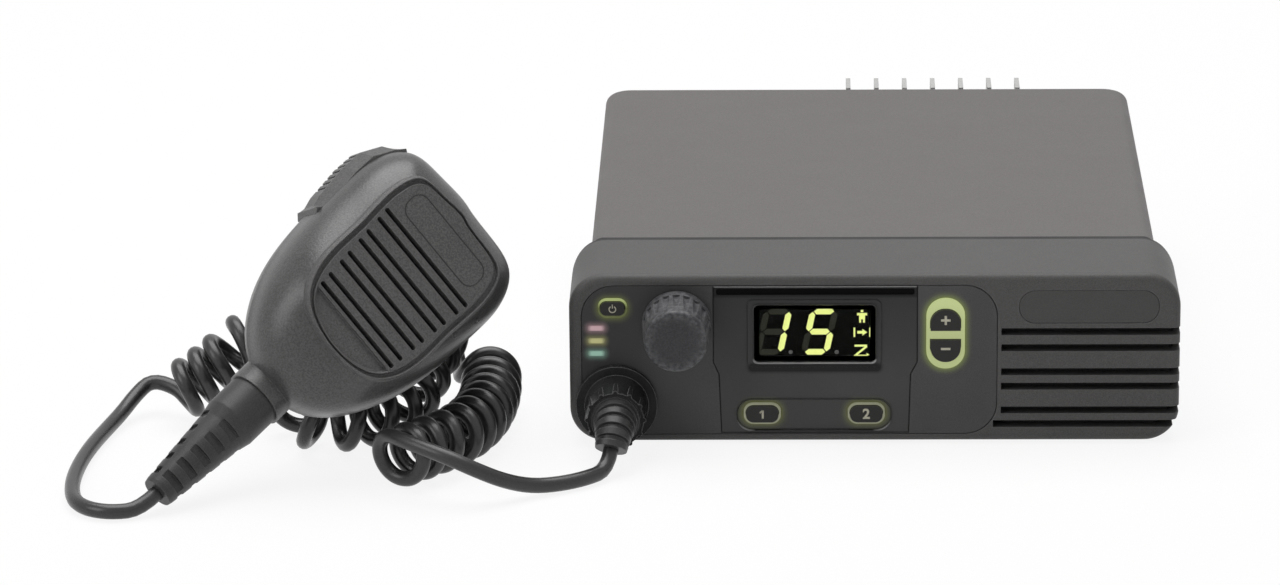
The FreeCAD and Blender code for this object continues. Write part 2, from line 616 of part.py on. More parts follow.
SLOTS = ["slot_one", "slot_two", "slot_three", "slot_four", "slot_five", "slot_six"]
HEAD_SCREWS = [(opposite(HEAD_SCREW_LINE), "head_screw_low"), (HEAD_SCREW_LINE, "head_screw_low"),
               (opposite(HEAD_SCREW_LINE), "head_screw_high"), (HEAD_SCREW_LINE, "head_screw_high")]


def build_head_housing():
    """Control head case: rounded shell, fascia rebate, speaker slots and bosses."""
    front = number(FRONT)
    rear = -size("seam_depth")
    tall = ("head_low", "head_high")
    wide = ("-head_half", "head_half")
    seen = pill("head_seen", wide, (FRONT, "-seam_depth"), tall, "head_corner")
    plan = rounded("head_plan", box("head_plan_block", wide, (FRONT, "-seam_depth"), tall),
                   "head_rear_corner",
                   lambda edge: along(2)(edge) and abs(edge.BoundBox.YMax - rear) < 1e-6)
    solid = common("head_solid", seen, plan)
    outer = rounded("head_outer", solid, "head_front_edge",
                    lambda edge: edge.BoundBox.YMax < front + 1e-6)
    hollow = pill("head_hollow", ("-head_half + head_wall", "head_half - head_wall"),
                  (FACE_REAR, "-seam_depth + 1"),
                  ("head_low + head_wall", "head_high - head_wall"), "head_corner")
    rebate = pill("head_rebate", ("-fascia_left - fascia_gap", "fascia_right + fascia_gap"),
                  (FRONT + " - 1", FASCIA_REAR),
                  ("fascia_low - fascia_gap", "fascia_high + fascia_gap"), "fascia_corner")
    opening = pill("head_opening", ("-fascia_left + fascia_ledge", "fascia_right - fascia_ledge"),
                   (FRONT, FACE_REAR + " + 1"),
                   ("fascia_low + fascia_ledge", "fascia_high - fascia_ledge"), "fascia_corner")
    recess = pill("head_plate_recess", ("plate_left", "plate_right"),
                  (FRONT + " - 1", FRONT + " + plate_recess"), ("plate_low", "plate_high"),
                  "plate_corner")
    jack = rod("head_jack_hole", "y", ("-plug_x", FRONT, "plug_z"), "jack_radius + ring_gap * 2",
               "face_thick + 1")
    tools = [hollow, rebate, opening, recess, jack]
    for index, slot in enumerate(SLOTS):
        left = "slot_left" if index < 5 else "slot_left - 2.2"
        tools.append(box(f"speaker_slot_{index}", (left, "head_half + 2"),
                         (FRONT + " - 1", FRONT + " + slot_depth"),
                         (f"{slot} - slot_height / 2", f"{slot} + slot_height / 2")))
    case = cut("head_case", outer, tools)
    plate_front = "-seam_depth - back_plate"
    bosses = [rod(f"head_boss_{index}", "-y", (x, plate_front, z), "head_boss",
                  "head_boss_length")
              for index, (x, z) in enumerate(HEAD_SCREWS)]
    pilots = [rod(f"head_pilot_{index}", "-y", (x, plate_front + " + 1", z), "head_pilot",
                  "head_screw_length + 2")
              for index, (x, z) in enumerate(HEAD_SCREWS)]
    node("head_housing", cut("head_housing", fuse("head_bossed", [case] + bosses), pilots))


def build_head_back():
    """Rear plate of the control head with its screws, and the seal behind it."""
    part = body("head_back")
    front = "seam_depth + back_plate"
    plate = sketch_on(part, "head_back_outline", "XZ_Plane", front)
    inner = "head_half - head_wall - back_gap"
    draw_rounded(plate, ("-head_half + head_wall + back_gap", inner),
                 ("head_low + head_wall + back_gap", "head_high - head_wall - back_gap"),
                 "head_corner")
    pad(part, plate, "back_plate", reverse=True)
    window = sketch_on(part, "head_back_window", "XZ_Plane", front)
    draw_rounded(window, ("-back_window_half", "back_window_half"), ("12", "38"), "3")
    for x, z in HEAD_SCREWS:
        draw_circle(window, x, z, "head_screw_shank + 0.2")
    pocket(part, window, "back_plate + 1")
    sinks = sketch_on(part, "head_back_sinks", "XZ_Plane", "seam_depth")
    for x, z in HEAD_SCREWS:
        draw_circle(sinks, x, z, "head_screw_head + 0.1")
    pocket(part, sinks, "head_screw_cap", reverse=True)
    screws = []
    for index, (x, z) in enumerate(HEAD_SCREWS):
        head = rod(f"head_screw_head_{index}", "-y", (x, "-seam_depth - 0.1", z),
                   "head_screw_head", "head_screw_cap - 0.1")
        shank = rod(f"head_screw_shank_{index}", "-y", (x, "-seam_depth - 0.6", z),
                    "head_screw_shank", "head_screw_length")
        screws.append(fuse(f"head_screw_{index}", [head, shank]))
    node("head_screws", fuse("head_screws", screws))
    seal = body("front_seal")
    ring = sketch_on(seal, "seal_ring", "XZ_Plane", "seam_depth")
    draw_rounded(ring, ("-seal_half", "seal_half"), ("seal_low", "seal_high"), "5")
    draw_rounded(ring, ("-seal_half + seal_width", "seal_half - seal_width"),
                 ("seal_low + seal_width", "seal_high - seal_width"), "3")
    pad(seal, ring, "seam_depth - chassis_front", reverse=True)


KEYS = {
    "power": ("-power_x", "power_z", "power_ring_wide", "power_ring_tall",
              "power_cap_wide", "power_cap_tall"),
    "left": ("-side_key_left", "side_key_z", "side_ring_wide", "side_ring_tall",
             "side_cap_wide", "side_cap_tall"),
    "right": ("-side_key_right", "side_key_z", "side_ring_wide", "side_ring_tall",
              "side_cap_wide", "side_cap_tall"),
}


def key_hole(sketch, name, room):
    """A stadium opening for one key's light ring."""
    x, z, wide, tall = KEYS[name][:4]
    draw_rounded(sketch, (f"{x} - {wide} - {room}", f"{x} + {wide} + {room}"),
                 (f"{z} - {tall} - {room}", f"{z} + {tall} + {room}"), f"{tall} - 0.3")


def build_fascia():
    """Left insert of the face, with the rebate for the centre panel and all openings."""
    part = body("fascia_panel")
    outline = sketch_on(part, "fascia_outline", "XZ_Plane", "front_depth")
    draw_rounded(outline, ("-fascia_left", "fascia_right"), ("fascia_low", "fascia_high"),
                 "fascia_corner")
    pad(part, outline, "fascia_thick", reverse=True)
    rebate = sketch_on(part, "fascia_rebate", "XZ_Plane", "front_depth")
    draw_polygon(rebate, centre_corners("fascia_gap"))
    pocket(part, rebate, "centre_thick")
    holes = sketch_on(part, "fascia_holes", "XZ_Plane", "front_depth")
    for name in KEYS:
        key_hole(holes, name, "0")
    draw_rounded(holes, ("channel_x - channel_ring_wide", "channel_x + channel_ring_wide"),
                 ("channel_low", "channel_high"), "channel_ring_wide - 0.1")
    draw_rounded(holes, ("-window_left + display_margin", "window_right - display_margin"),
                 ("window_low + display_margin", "window_high - display_margin"), "1")
    draw_circle(holes, "-knob_x", "knob_z", "bush_radius + ring_gap")
    draw_circle(holes, "-plug_x", "plug_z", "jack_radius + 0.1")
    for index in range(int(size("light_count"))):
        middle = f"light_first - {index} * light_pitch"
        draw_rounded(holes, ("-light_left", "-light_right"),
                     (f"{middle} - light_tall / 2", f"{middle} + light_tall / 2"), "0.5")
    pocket(part, holes, "fascia_thick + 1")


def centre_corners(room):
    """The centre panel's outline, stepped in below the display, plus some room."""
    return [(f"-centre_left - {room}", f"centre_high + {room} / 2"),
            (f"-centre_left - {room}", "centre_jog_high"),
            (f"-centre_left_low - 0.7 - {room}", "centre_jog_low"),
            (f"-centre_left_low - {room}", f"centre_low - {room} / 2"),
            (f"centre_right_low + {room}", f"centre_low - {room} / 2"),
            (f"centre_right_low + 0.5 + {room}", "centre_jog_low"),
            (f"centre_right + {room}", "centre_jog_high"),
            (f"centre_right + {room}", f"centre_high + {room} / 2")]


def build_centre():
    """Centre panel: stepped outline, proud display bezel, dark band and key trough."""
    part = body("centre_panel")
    face = "front_depth - centre_sunk"
    outline = sketch_on(part, "centre_outline", "XZ_Plane", face)
    draw_polygon(outline, centre_corners("0"))
    pad(part, outline, "centre_thick - centre_sunk", reverse=True)
    bezel = sketch_on(part, "centre_bezel", "XZ_Plane", face)
    draw_rounded(bezel, ("-bezel_left", "bezel_right"), ("bezel_low", "bezel_high"), "1.6")
    pad(part, bezel, "bezel_proud")
    band = sketch_on(part, "centre_band", "XZ_Plane", face)
    draw_rounded(band, ("-centre_left + 0.8", "centre_right - 0.8"),
                 ("band_low", "centre_high - 0.6"), "0.5")
    pocket(part, band, "band_depth")
    trough = sketch_on(part, "centre_trough", "XZ_Plane", face)
    draw_rounded(trough, ("-key_trough_left", "key_trough_right"),
                 ("key_trough_low", "key_trough_high"), "4.5")
    pocket(part, trough, "key_trough_depth")
    holes = sketch_on(part, "centre_holes", "XZ_Plane", face + " + bezel_proud + 1")
    for name in ("left", "right"):
        key_hole(holes, name, "0.05")
    draw_rounded(holes, ("-window_left - ring_gap", "window_right + ring_gap"),
                 ("window_low - ring_gap", "window_high + ring_gap"), "window_corner")
    pocket(part, holes, "centre_thick + bezel_proud + 2")
    lens_front = "front_depth - centre_sunk + bezel_proud - 0.1"
    lens = body("display_window")
    glass = sketch_on(lens, "window_outline", "XZ_Plane", lens_front)
    draw_rounded(glass, ("-window_left", "window_right"), ("window_low", "window_high"),
                 "window_corner")
    pad(lens, glass, "window_thick - bezel_proud + 0.2", reverse=True)
    node("display_module", pill(
        "display_module",
        ("-window_left + display_margin + 0.1", "window_right - display_margin - 0.1"),
        (FASCIA_REAR + " - 0.9", FACE_REAR + " + mat_gap + mat_thick + 0.1"),
        ("window_low + display_margin + 0.1", "window_high - display_margin - 0.1"), "0.9"))


def span(middle, half, extra="0"):
    """Both ends of a stretch about a middle, made longer by an extra at each end."""
    return (f"{middle} - {half} - {extra}", f"{middle} + {half} + {extra}")


def build_key(name):
    """Light ring pressed into the face and the sprung key cap inside it."""
    x, z, wide, tall, cap_wide, cap_tall = KEYS[name]
    ring_front = FRONT + " - ring_proud"
    flange_front = FASCIA_REAR + " + flange_gap"
    ring = pill(name + "_ring_block", span(x, wide, "-0.05"), (ring_front, FASCIA_REAR),
                span(z, tall, "-0.05"), f"{tall} - 0.35")
    hole = pill(name + "_ring_hole", span(x, cap_wide, "key_gap"),
                (ring_front + " - 1", FASCIA_REAR + " + 1"),
                span(z, cap_tall, "key_gap"), f"{cap_tall} - 0.1")
    node(name + "_light_ring", cut(name + "_light_ring", ring, [hole]))
    cap = pill(name + "_cap", span(x, cap_wide), (FRONT + " - key_proud", flange_front),
               span(z, cap_tall), f"{cap_tall} - 0.3")
    flange = pill(name + "_flange", span(x, cap_wide, "key_gap + flange_step"),
                  (flange_front, flange_front + " + key_flange"),
                  span(z, cap_tall, "key_gap + flange_step"), f"{cap_tall} - 0.3")
    node(name + "_key", fuse(name + "_key", [cap, flange]))


def channel_blank(name, low, high, extra, front, rear):
    """A stadium over both channel keys, cut down to one key's half."""
    blank = pill(name + "_stadium", span("channel_x", "channel_key_wide", extra), (front, rear),
                 (f"down_low - {extra}", f"up_high + {extra}"), "channel_key_wide - 0.1")
    half = box(name + "_half", ("channel_x - 9", "channel_x + 9"), (front, rear),
               (f"{low} - {extra}", f"{high} + {extra}"))
    return common(name, blank, half)


def build_channel_keys():
    """Tall light ring with the two D-shaped channel keys."""
    ring_front = FRONT + " - ring_proud"
    flange_front = FASCIA_REAR + " + flange_gap"
    block = pill("channel_ring_block", span("channel_x", "channel_ring_wide", "-0.05"),
                 (ring_front, FASCIA_REAR), ("channel_low + ring_gap", "channel_high - ring_gap"),
                 "channel_ring_wide - 0.2")
    halves = (("channel_up", "up_low", "up_high"), ("channel_down", "down_low", "down_high"))
    holes = [channel_blank(name + "_hole", low, high, "key_gap", ring_front + " - 1",
                           FASCIA_REAR + " + 1") for name, low, high in halves]
    node("channel_light_ring", cut("channel_light_ring", block, holes))
    for name, low, high in halves:
        cap = channel_blank(name + "_cap", low, high, "0", FRONT + " - key_proud", flange_front)
        flange = channel_blank(name + "_flange", low, high, "key_gap + flange_step",
                               flange_front, flange_front + " + key_flange")
        node(name + "_key", fuse(name + "_key", [cap, flange]))


def build_face_inside():
    """Rubber mat, control board and status light pipes behind the face."""
    mat_front = "front_depth - face_thick - mat_gap"
    mat = body("keypad_mat")
    outline = sketch_on(mat, "mat_outline", "XZ_Plane", mat_front)
    draw_rounded(outline, ("-fascia_left", "fascia_right"), ("fascia_low + 0.6", "fascia_high"), "8")
    draw_rounded(outline, ("-window_left + 1", "window_right - 1"),
                 ("window_low + 1", "window_high - 1"), "0.8")
    draw_circle(outline, "-plug_x", "plug_z", "jack_radius + 0.3")
    draw_rounded(outline, span("-knob_x", "encoder_half", "0.3"),
                 span("knob_z", "encoder_half", "0.3"), "0.6")
    pad(mat, outline, "mat_thick", reverse=True)
    board_front = mat_front + " - mat_thick - 0.1"
    board = body("control_board")
    sheet_outline = sketch_on(board, "control_board_outline", "XZ_Plane", board_front)
    draw_rounded(sheet_outline, ("-fascia_left + 1", "fascia_right"),
                 ("fascia_low + 1.5", "fascia_high - 0.5"),
                 "4")
    pad(board, sheet_outline, "board_thick", reverse=True)
    lights = []
    for index in range(int(size("light_count"))):
        middle = f"light_first - {index} * light_pitch"
        lights.append(pill(f"status_light_{index}",
                           ("-light_left + ring_gap", "-light_right - ring_gap"),
                           (FRONT + " - 0.1", FACE_REAR),
                           (f"{middle} - light_tall / 2 + ring_gap",
                            f"{middle} + light_tall / 2 - ring_gap"), "0.4"))
    node("status_lights", fuse("status_lights", lights))


def build_knob():
    """Fluted volume knob, its shaft and the rotary encoder."""
    part = body("volume_knob")
    part.Placement = Placement()
    place(part, ("-knob_x", "-front_depth - knob_gap", "knob_z"))
    skirt = sketch_on(part, "knob_outline", "XZ_Plane", "0")
    draw_circle(skirt, "0", "0", "knob_base")
    turned = pad(part, skirt, "knob_length")
    turned.setExpression("TaperAngle", rule("-knob_taper"))
    doc.recompute()
    rim = [f"Edge{index}" for index, edge in enumerate(turned.Shape.Edges, start=1)
           if abs(edge.BoundBox.YMin - edge.BoundBox.YMax) < 1e-6
           and edge.BoundBox.YMin < -size("knob_length") + 0.01]
    soft = part.newObject("PartDesign::Fillet", "knob_rim")
    soft.Base = (turned, rim)
    soft.setExpression("Radius", rule("knob_front_edge"))
    flute = sketch_on(part, "knob_flute", "XZ_Plane", "3")
    draw_circle(flute, "knob_base + 0.3", "0", "flute_radius")
    first = pocket(part, flute, "knob_length", reverse=True)
    round_ = part.newObject("PartDesign::PolarPattern", "knob_flutes")
    round_.Originals = [first]
    round_.Axis = (next(item for item in part.Origin.OriginFeatures
                        if item.Role == "Y_Axis"), [""])
    round_.Angle = 360
    round_.setExpression("Occurrences", rule("flute_count"))
    part.Tip = round_
    bore = sketch_on(part, "knob_bore", "XZ_Plane", "0")
    draw_circle(bore, "0", "0", "shaft_radius + shaft_gap")
    pocket(part, bore, "shaft_reach + 0.5", reverse=True)
    spot = ("-knob_x", FASCIA_REAR + " + 2.4", "knob_z")
    node("encoder_shaft", rod("encoder_shaft", "-y", spot, "shaft_radius",
                              "fascia_thick + 2.4 + knob_gap + shaft_reach"))
    block = box("encoder_block", span("-knob_x", "encoder_half"),
                (FASCIA_REAR + " + 0.1", FACE_REAR + " + mat_gap + mat_thick + 0.1"),
                span("knob_z", "encoder_half"))
    bush = rod("encoder_bush", "-y", ("-knob_x", FASCIA_REAR + " + 0.2", "knob_z"),
               "bush_radius", "bush_length")
    hole = rod("encoder_hole", "-y", ("-knob_x", FASCIA_REAR + " + 2.5", "knob_z"),
               "shaft_radius + shaft_gap", "8")
    node("volume_encoder", cut("volume_encoder", fuse("encoder_solid", [block, bush]), [hole]))


def build_speaker():
    """Speaker behind the slots: frame, cone, magnet and cloth, and the bare name plate."""
    face = FACE_REAR + " + mat_gap"
    front = face + " + cloth_thick + 0.1"
    middle = ("speaker_x", front, "speaker_z")
    shell = cone("speaker_shell", "y", middle, "speaker_radius", "magnet_radius + 0.5",
                 "speaker_depth")
    hollow = cone("speaker_hollow", "y", ("speaker_x", front + " - 0.01", "speaker_z"),
                  "speaker_radius - speaker_rim", "magnet_radius - 2", "speaker_depth - 1")
    node("speaker_frame", cut("speaker_frame", shell, [hollow]))
    dish = cone("speaker_dish", "y", ("speaker_x", front + " + 0.3", "speaker_z"),
                "speaker_radius - speaker_rim - 0.7", "magnet_radius - 4", "speaker_depth - 2")
    dish_hollow = cone("speaker_dish_hollow", "y", ("speaker_x", front + " + 0.29", "speaker_z"),
                       "speaker_radius - speaker_rim - 0.7 - cone_sheet * 2",
                       "magnet_radius - 5", "speaker_depth - 2 - cone_sheet")
    node("speaker_cone", cut("speaker_cone", dish, [dish_hollow]))
    node("speaker_magnet", rod("speaker_magnet", "y",
                               ("speaker_x", front + " + speaker_depth", "speaker_z"),
                               "magnet_radius", "magnet_depth"))
    sheet = box("cloth_sheet", ("slot_left + 0.3", "head_half - head_wall - 0.4"),
                (face, face + " + cloth_thick"), ("head_low + head_wall + 0.4", "plate_low"))
    room = pill("cloth_room", ("-head_half + head_wall + 0.4", "head_half - head_wall - 0.4"),
                (face + " - 1", face + " + cloth_thick + 1"),
                ("head_low + head_wall + 0.4", "head_high - head_wall - 0.4"), "head_corner")
    node("speaker_cloth", common("speaker_cloth", sheet, room))
    node("name_plate", pill("name_plate", ("plate_left + plate_gap", "plate_right - plate_gap"),
                            (FRONT + " + plate_recess - plate_thick", FRONT + " + plate_recess"),
                            ("plate_low + plate_gap", "plate_high - plate_gap"), "plate_corner"))


def build_plug():
    """Panel socket, plug body with its nose, and the twisting grip collar."""
    centre = "plug_z"
    jack = rod("jack_outer", "y", ("-plug_x", FRONT + " + 0.1", centre), "jack_radius",
               "face_thick + mat_thick")
    bore = rod("jack_inner", "y", ("-plug_x", FRONT, centre), "jack_bore", "jack_depth")
    node("mic_socket", cut("mic_socket", jack, [bore]))
    back = FRONT + " - panel_gap"
    nose = rod("plug_nose", "y", ("-plug_x", back, centre), "plug_nose", "jack_depth + 0.1")
    barrel = rod("plug_barrel", "-y", ("-plug_x", back, centre), "plug_barrel", "plug_length - 1")
    node("plug_body", fuse("plug_body", [nose, barrel]))
    flange = rod("collar_flange", "-y", ("-plug_x", back, centre), "collar_flange",
                 "collar_flange_thick")
    sleeve = cone("collar_sleeve", "-y", ("-plug_x", back, centre), "collar_back",
                  "collar_front", "collar_length - 0.6")
    grips = []
    turn = 360.0 / size("grip_count")
    for index in range(int(size("grip_count"))):
        angle = math.radians(turn * index)
        reach = f"collar_front * {math.cos(angle):.6f}"
        lift = f"collar_front * {math.sin(angle):.6f}"
        grips.append(rod(f"collar_grip_{index}", "-y",
                         (f"-plug_x + {reach}", back + " - collar_length / 2",
                          f"plug_z + {lift}"), "grip_radius", "collar_length / 2 - 0.6"))
    hole = rod("collar_hole", "-y", ("-plug_x", back + " + 1", centre),
               "plug_barrel + collar_gap", "collar_length + 4")
    node("plug_collar", cut("plug_collar", fuse("collar_solid", [flange, sleeve] + grips), [hole]))


def plug_boot_path(share):
    """A point and direction along the plug boot's bend, from the plug to its tip."""
    start = Vector(-size("plug_x"), number(FRONT + " - panel_gap - plug_length + 1"), size("plug_z"))
    swing = math.radians(size("boot_swing"))
    down = Vector(-math.sin(swing), 0, -math.cos(swing))
    ahead = Vector(0, -1, 0)
    bend = math.radians(size("boot_bend")) * share
    radius = size("boot_radius")
    point = start + ahead * (radius * math.sin(bend)) + down * (radius * (1 - math.cos(bend)))
    direction = ahead * math.cos(bend) + down * math.sin(bend)
    return point, direction


def build_plug_boot():
    """Bent strain relief with ring grooves, lofted through circles."""
    rings = int(size("boot_rings"))
    steps = []
    for ring in range(rings):
        for part, groove in ((0.0, 0), (0.55, 0), (0.6, 1), (0.95, 1)):
            steps.append(((ring + part) / (rings + 0.5), groove))
    steps += [(rings / (rings + 0.5), 0), (1.0, 0)]
    circles = []
    for share, groove in steps:
        point, direction = plug_boot_path(share)
        radius = size("boot_base") + (size("boot_tip") - size("boot_base")) * share
        radius -= size("boot_groove") * groove
        circles.append(Part.Wire([Part.Circle(point, direction, radius).toShape()]))
    piece = doc.addObject("Part::Feature", "plug_boot")
    piece.Shape = Part.makeLoft(circles, True, True)
    node("plug_boot", piece)


def mic_placement():
    """Where the microphone stands: its frame starts at the boot's large end."""
    turn = Rotation(MIC_ACROSS, MIC_ALONG, MIC_OUT, "ZYX")
    foot = Vector(size("mic_x"), size("mic_y"), size("mic_z"))
    return Placement(foot + turn.multVec(Vector(0, size("mic_boot_length"), 0)), turn)


def mic_node(label, piece):
    """A microphone part, made in the microphone's frame and stood in its place."""
    piece.Placement = mic_placement()
    return node(label, piece)


def mic_feature(name, shape):
    """A plain shape in the microphone's frame."""
    piece = doc.addObject("Part::Feature", name)
    piece.Shape = shape
    return piece


def mic_outline(share, level, scale=1.0):
    """Closed smooth outline of the microphone: share 0 is the body, 1 the front panel."""
    top = size("mic_top")
    half = size("mic_half")
    shoulder = size("mic_shoulder")
    case = [(0, top), (12.5, top - 0.5), (shoulder - 5.2, top - 3.0), (shoulder, top - 11.7),
            (half, top - 24), (half - 0.6, 42), (half - 6.3, 18), (9.5, 3.6)]
    panel = [(0, 73.0), (10, 72.3), (18.4, 70.2), (21.0, 64.5),
             (21.1, 47), (20.6, 30), (15.6, 20), (5, 15.8)]
    middle = 42.0
    points = []
    for (case_u, case_v), (panel_u, panel_v) in zip(case, panel):
        u = case_u + (panel_u - case_u) * share
        v = case_v + (panel_v - case_v) * share
        points.append(Vector(u * scale, middle + (v - middle) * (scale * 0.35 + 0.65), level))
    mirrored = [Vector(-point.x, point.y, point.z) for point in points[:0:-1]]
    curve = Part.BSplineCurve()
    curve.interpolate(Points=points + mirrored, PeriodicFlag=True)
    cuts = [curve.FirstParameter, curve.parameter(points[4]), curve.parameter(points[7]),
            curve.parameter(mirrored[0]), curve.parameter(mirrored[3]), curve.LastParameter]
    edges = []
    for low, high in zip(cuts, cuts[1:]):
        piece = curve.copy()
        piece.segment(low, high)
        edges.append(piece.toShape())
    return Part.Wire(edges)


def mic_loft(levels, scale=1.0):
    """A smooth solid through outlines at several levels."""
    return Part.makeLoft([mic_outline(share, level, scale) for level, share in levels], True, False)


def mic_bar(u, w, radius, low, high):
    """A round bar along the microphone's boot axis."""
    return Part.makeCylinder(radius, high - low, Vector(u, low, w), Vector(0, 1, 0))


def mic_block(u, v, w):
    """A block between pairs of microphone coordinates."""
    return Part.makeBox(u[1] - u[0], v[1] - v[0], w[1] - w[0], Vector(u[0], v[0], w[0]))


def mic_stud(u, v, radius, low, high):
    """A round bar square to the microphone's front."""
    return Part.makeCylinder(radius, high - low, Vector(u, v, low), Vector(0, 0, 1))


def talk_outline(level, bevel=0.0, room=0.0):
    """Outline of the talk key at one level, with its outer corners drawn in by the bevel."""
    low = size("talk_low")
    high = size("talk_high")
    outer = -size("talk_outer") + bevel
    inner = -size("talk_inner")
    corners = [Vector(inner, low, 0), Vector(-27.8, low, 0), Vector(-29.5, low + 1.5, 0),
               Vector(-29.3 + bevel * 0.5, low + 3.4, 0), Vector(outer + 1.1, low + 7, 0),
               Vector(outer, low + 18, 0), Vector(outer + 0.2, high - 9.5, 0),
               Vector(outer + 3.2, high - 3, 0), Vector(-23.8, high, 0),
               Vector(-21.6, high - 1.2, 0), Vector(inner, high - 14, 0)]
    wire = Part.makePolygon(corners + corners[:1])
    if room:
        wire = wire.makeOffset2D(room, 2)
    wire.translate(Vector(0, 0, level))
    return wire


def talk_pocket():
    """The room that the talk key needs in the shells: its outline, pressed and unpressed."""
    room = size("talk_gap")
    depth = size("talk_front") - size("talk_back") + 2 * room
    start = size("talk_back") - room
    rest = Part.Face(talk_outline(start, 0, room)).extrude(Vector(0, 0, depth))
    pressed = rest.copy()
    pressed.translate(Vector(size("talk_travel"), 0, 0))
    return rest.fuse(pressed).removeSplitter()


MIC_SCREWS = [(-14, "mic_screw_high"), (14, "mic_screw_high"), (-10.5, "mic_screw_low"),
              (10.5, "mic_screw_low")]


def build_mic_shells():
    """Front and back shells with their neck, parting line, talk key pocket and screw bosses."""
    parting = size("mic_parting")
    face = size("mic_face")
    back = size("mic_back")
    wall = size("mic_wall")
    inner_scale = 1 - wall / size("mic_half")
    neck = mic_bar(0, 0, size("neck_radius"), -size("neck_length"), 12)
    bore = mic_bar(0, 0, size("neck_bore"), -size("neck_length") - 1, 13)
    front_levels = [(parting, 0), (9, 0.03), (14, 0.14), (18.5, 0.42), (21.5, 0.76), (face, 1.0)]
    back_levels = [(parting, 0), (0, 0.06), (-4, 0.26), (-7.5, 0.6), (-back, 0.95)]
    talk = talk_pocket()
    above = mic_block((-60, 60), (-20, 100), (parting, 60))
    below = mic_block((-60, 60), (-20, 100), (-60, parting))

    front = mic_loft(front_levels).fuse(neck.common(above))
    room = mic_loft([(parting - 1, 0), (9, 0.03), (14, 0.16), (18.0, 0.46), (face - wall, 0.8)],
                    inner_scale)
    window = mic_block((-17, 17), (24, 58), (face - wall - 1, face + 1))
    front = front.cut([room, bore, window, talk]).removeSplitter()
    mic_node("mic_front_shell", mic_feature("mic_front_shell", front))

    rear = mic_loft(back_levels[::-1]).fuse(neck.common(below))
    hollow = mic_loft([(-back + wall, 0.8), (-4.0, 0.3), (0, 0.02), (parting + 1, 0.0)], inner_scale)
    rear = rear.cut([hollow, bore, talk])
    bosses = []
    holes = []
    screws = []
    for u, row in MIC_SCREWS:
        v = size(row)
        bosses.append(mic_stud(u, v, 3.0, -back + wall - 0.6, parting - 0.1))
        holes.append(mic_stud(u, v, size("mic_screw_shank") + 0.05, -back - 1, parting + 1))
        holes.append(mic_stud(u, v, size("mic_screw_head") + 0.15, -back - 1,
                              -back + size("mic_screw_sunk")))
        head = mic_stud(u, v, size("mic_screw_head"), -back + 0.3, -back + size("mic_screw_sunk"))
        shank = mic_stud(u, v, size("mic_screw_shank"), -back + 0.5,
                         -back + size("mic_screw_length"))
        screws.append(head.fuse(shank))
    rear = rear.fuse(bosses).cut(holes).removeSplitter()
    mic_node("mic_back_shell", mic_feature("mic_back_shell", rear))
    mic_node("mic_screws", mic_feature("mic_screws", Part.makeCompound(screws)))
    stud = mic_stud(0, size("hang_v"), size("hang_neck"), -back - size("hang_reach"), -back)
    head = mic_stud(0, size("hang_v"), size("hang_head"), -back - size("hang_reach"),
                    -back - size("hang_reach") + size("hang_head_thick"))
    mic_node("hang_button", mic_feature("hang_button", stud.fuse(head).removeSplitter()))


def build_mic_front():
    """Grille plate with paired slots and a dished foot, and the cloth behind it."""
    face = size("mic_face")
    front = size("mic_front")
    plate = Part.makeLoft([mic_outline(1.0, face), mic_outline(1.0, front - 0.8, 0.995),
                           mic_outline(1.0, front, 0.965)], True, True)
    tools = []
    first = size("grille_first")
    last = size("grille_last")
    for pair in range(int(size("grille_pairs"))):
        for line in range(2):
            v = first - pair * size("grille_step") - line * size("grille_pair")
            share = (first - v) / (first - last)
            half = size("grille_half_top") + (size("grille_half_low")
                                              - size("grille_half_top")) * share
            radius = size("grille_slot") / 2
            tools.append(mic_block((-half, half), (v - radius, v + radius), (face - 1, front + 1)))
            tools += [mic_stud(u, v, radius, face - 1, front + 1) for u in (-half, half)]
    floor = front - size("groove_depth")
    groove = Part.makeLoft([mic_outline(1.0, floor, 0.935), mic_outline(1.0, front + 0.5, 0.965)],
                           True, True)
    island = Part.makeLoft([mic_outline(1.0, floor - 0.5, 0.90),
                            mic_outline(1.0, front + 1, 0.865)], True, True)
    tools.append(groove.cut(island))
    dish = Part.makeLoft([mic_outline(1.0, front - size("dish_depth"), 0.80),
                          mic_outline(1.0, front + 0.5, 0.9)], True, True)
    tools.append(dish.common(mic_block((-30, 30), (0, 24.4), (face - 2, front + 2))))
    mic_node("mic_grille", mic_feature("mic_grille", plate.cut(tools)))
    cloth = mic_block((-16.8, 16.8), (24.2, 57.8), (face - 0.1 - size("mic_cloth"), face - 0.1))
    mic_node("mic_cloth", mic_feature("mic_cloth", cloth))


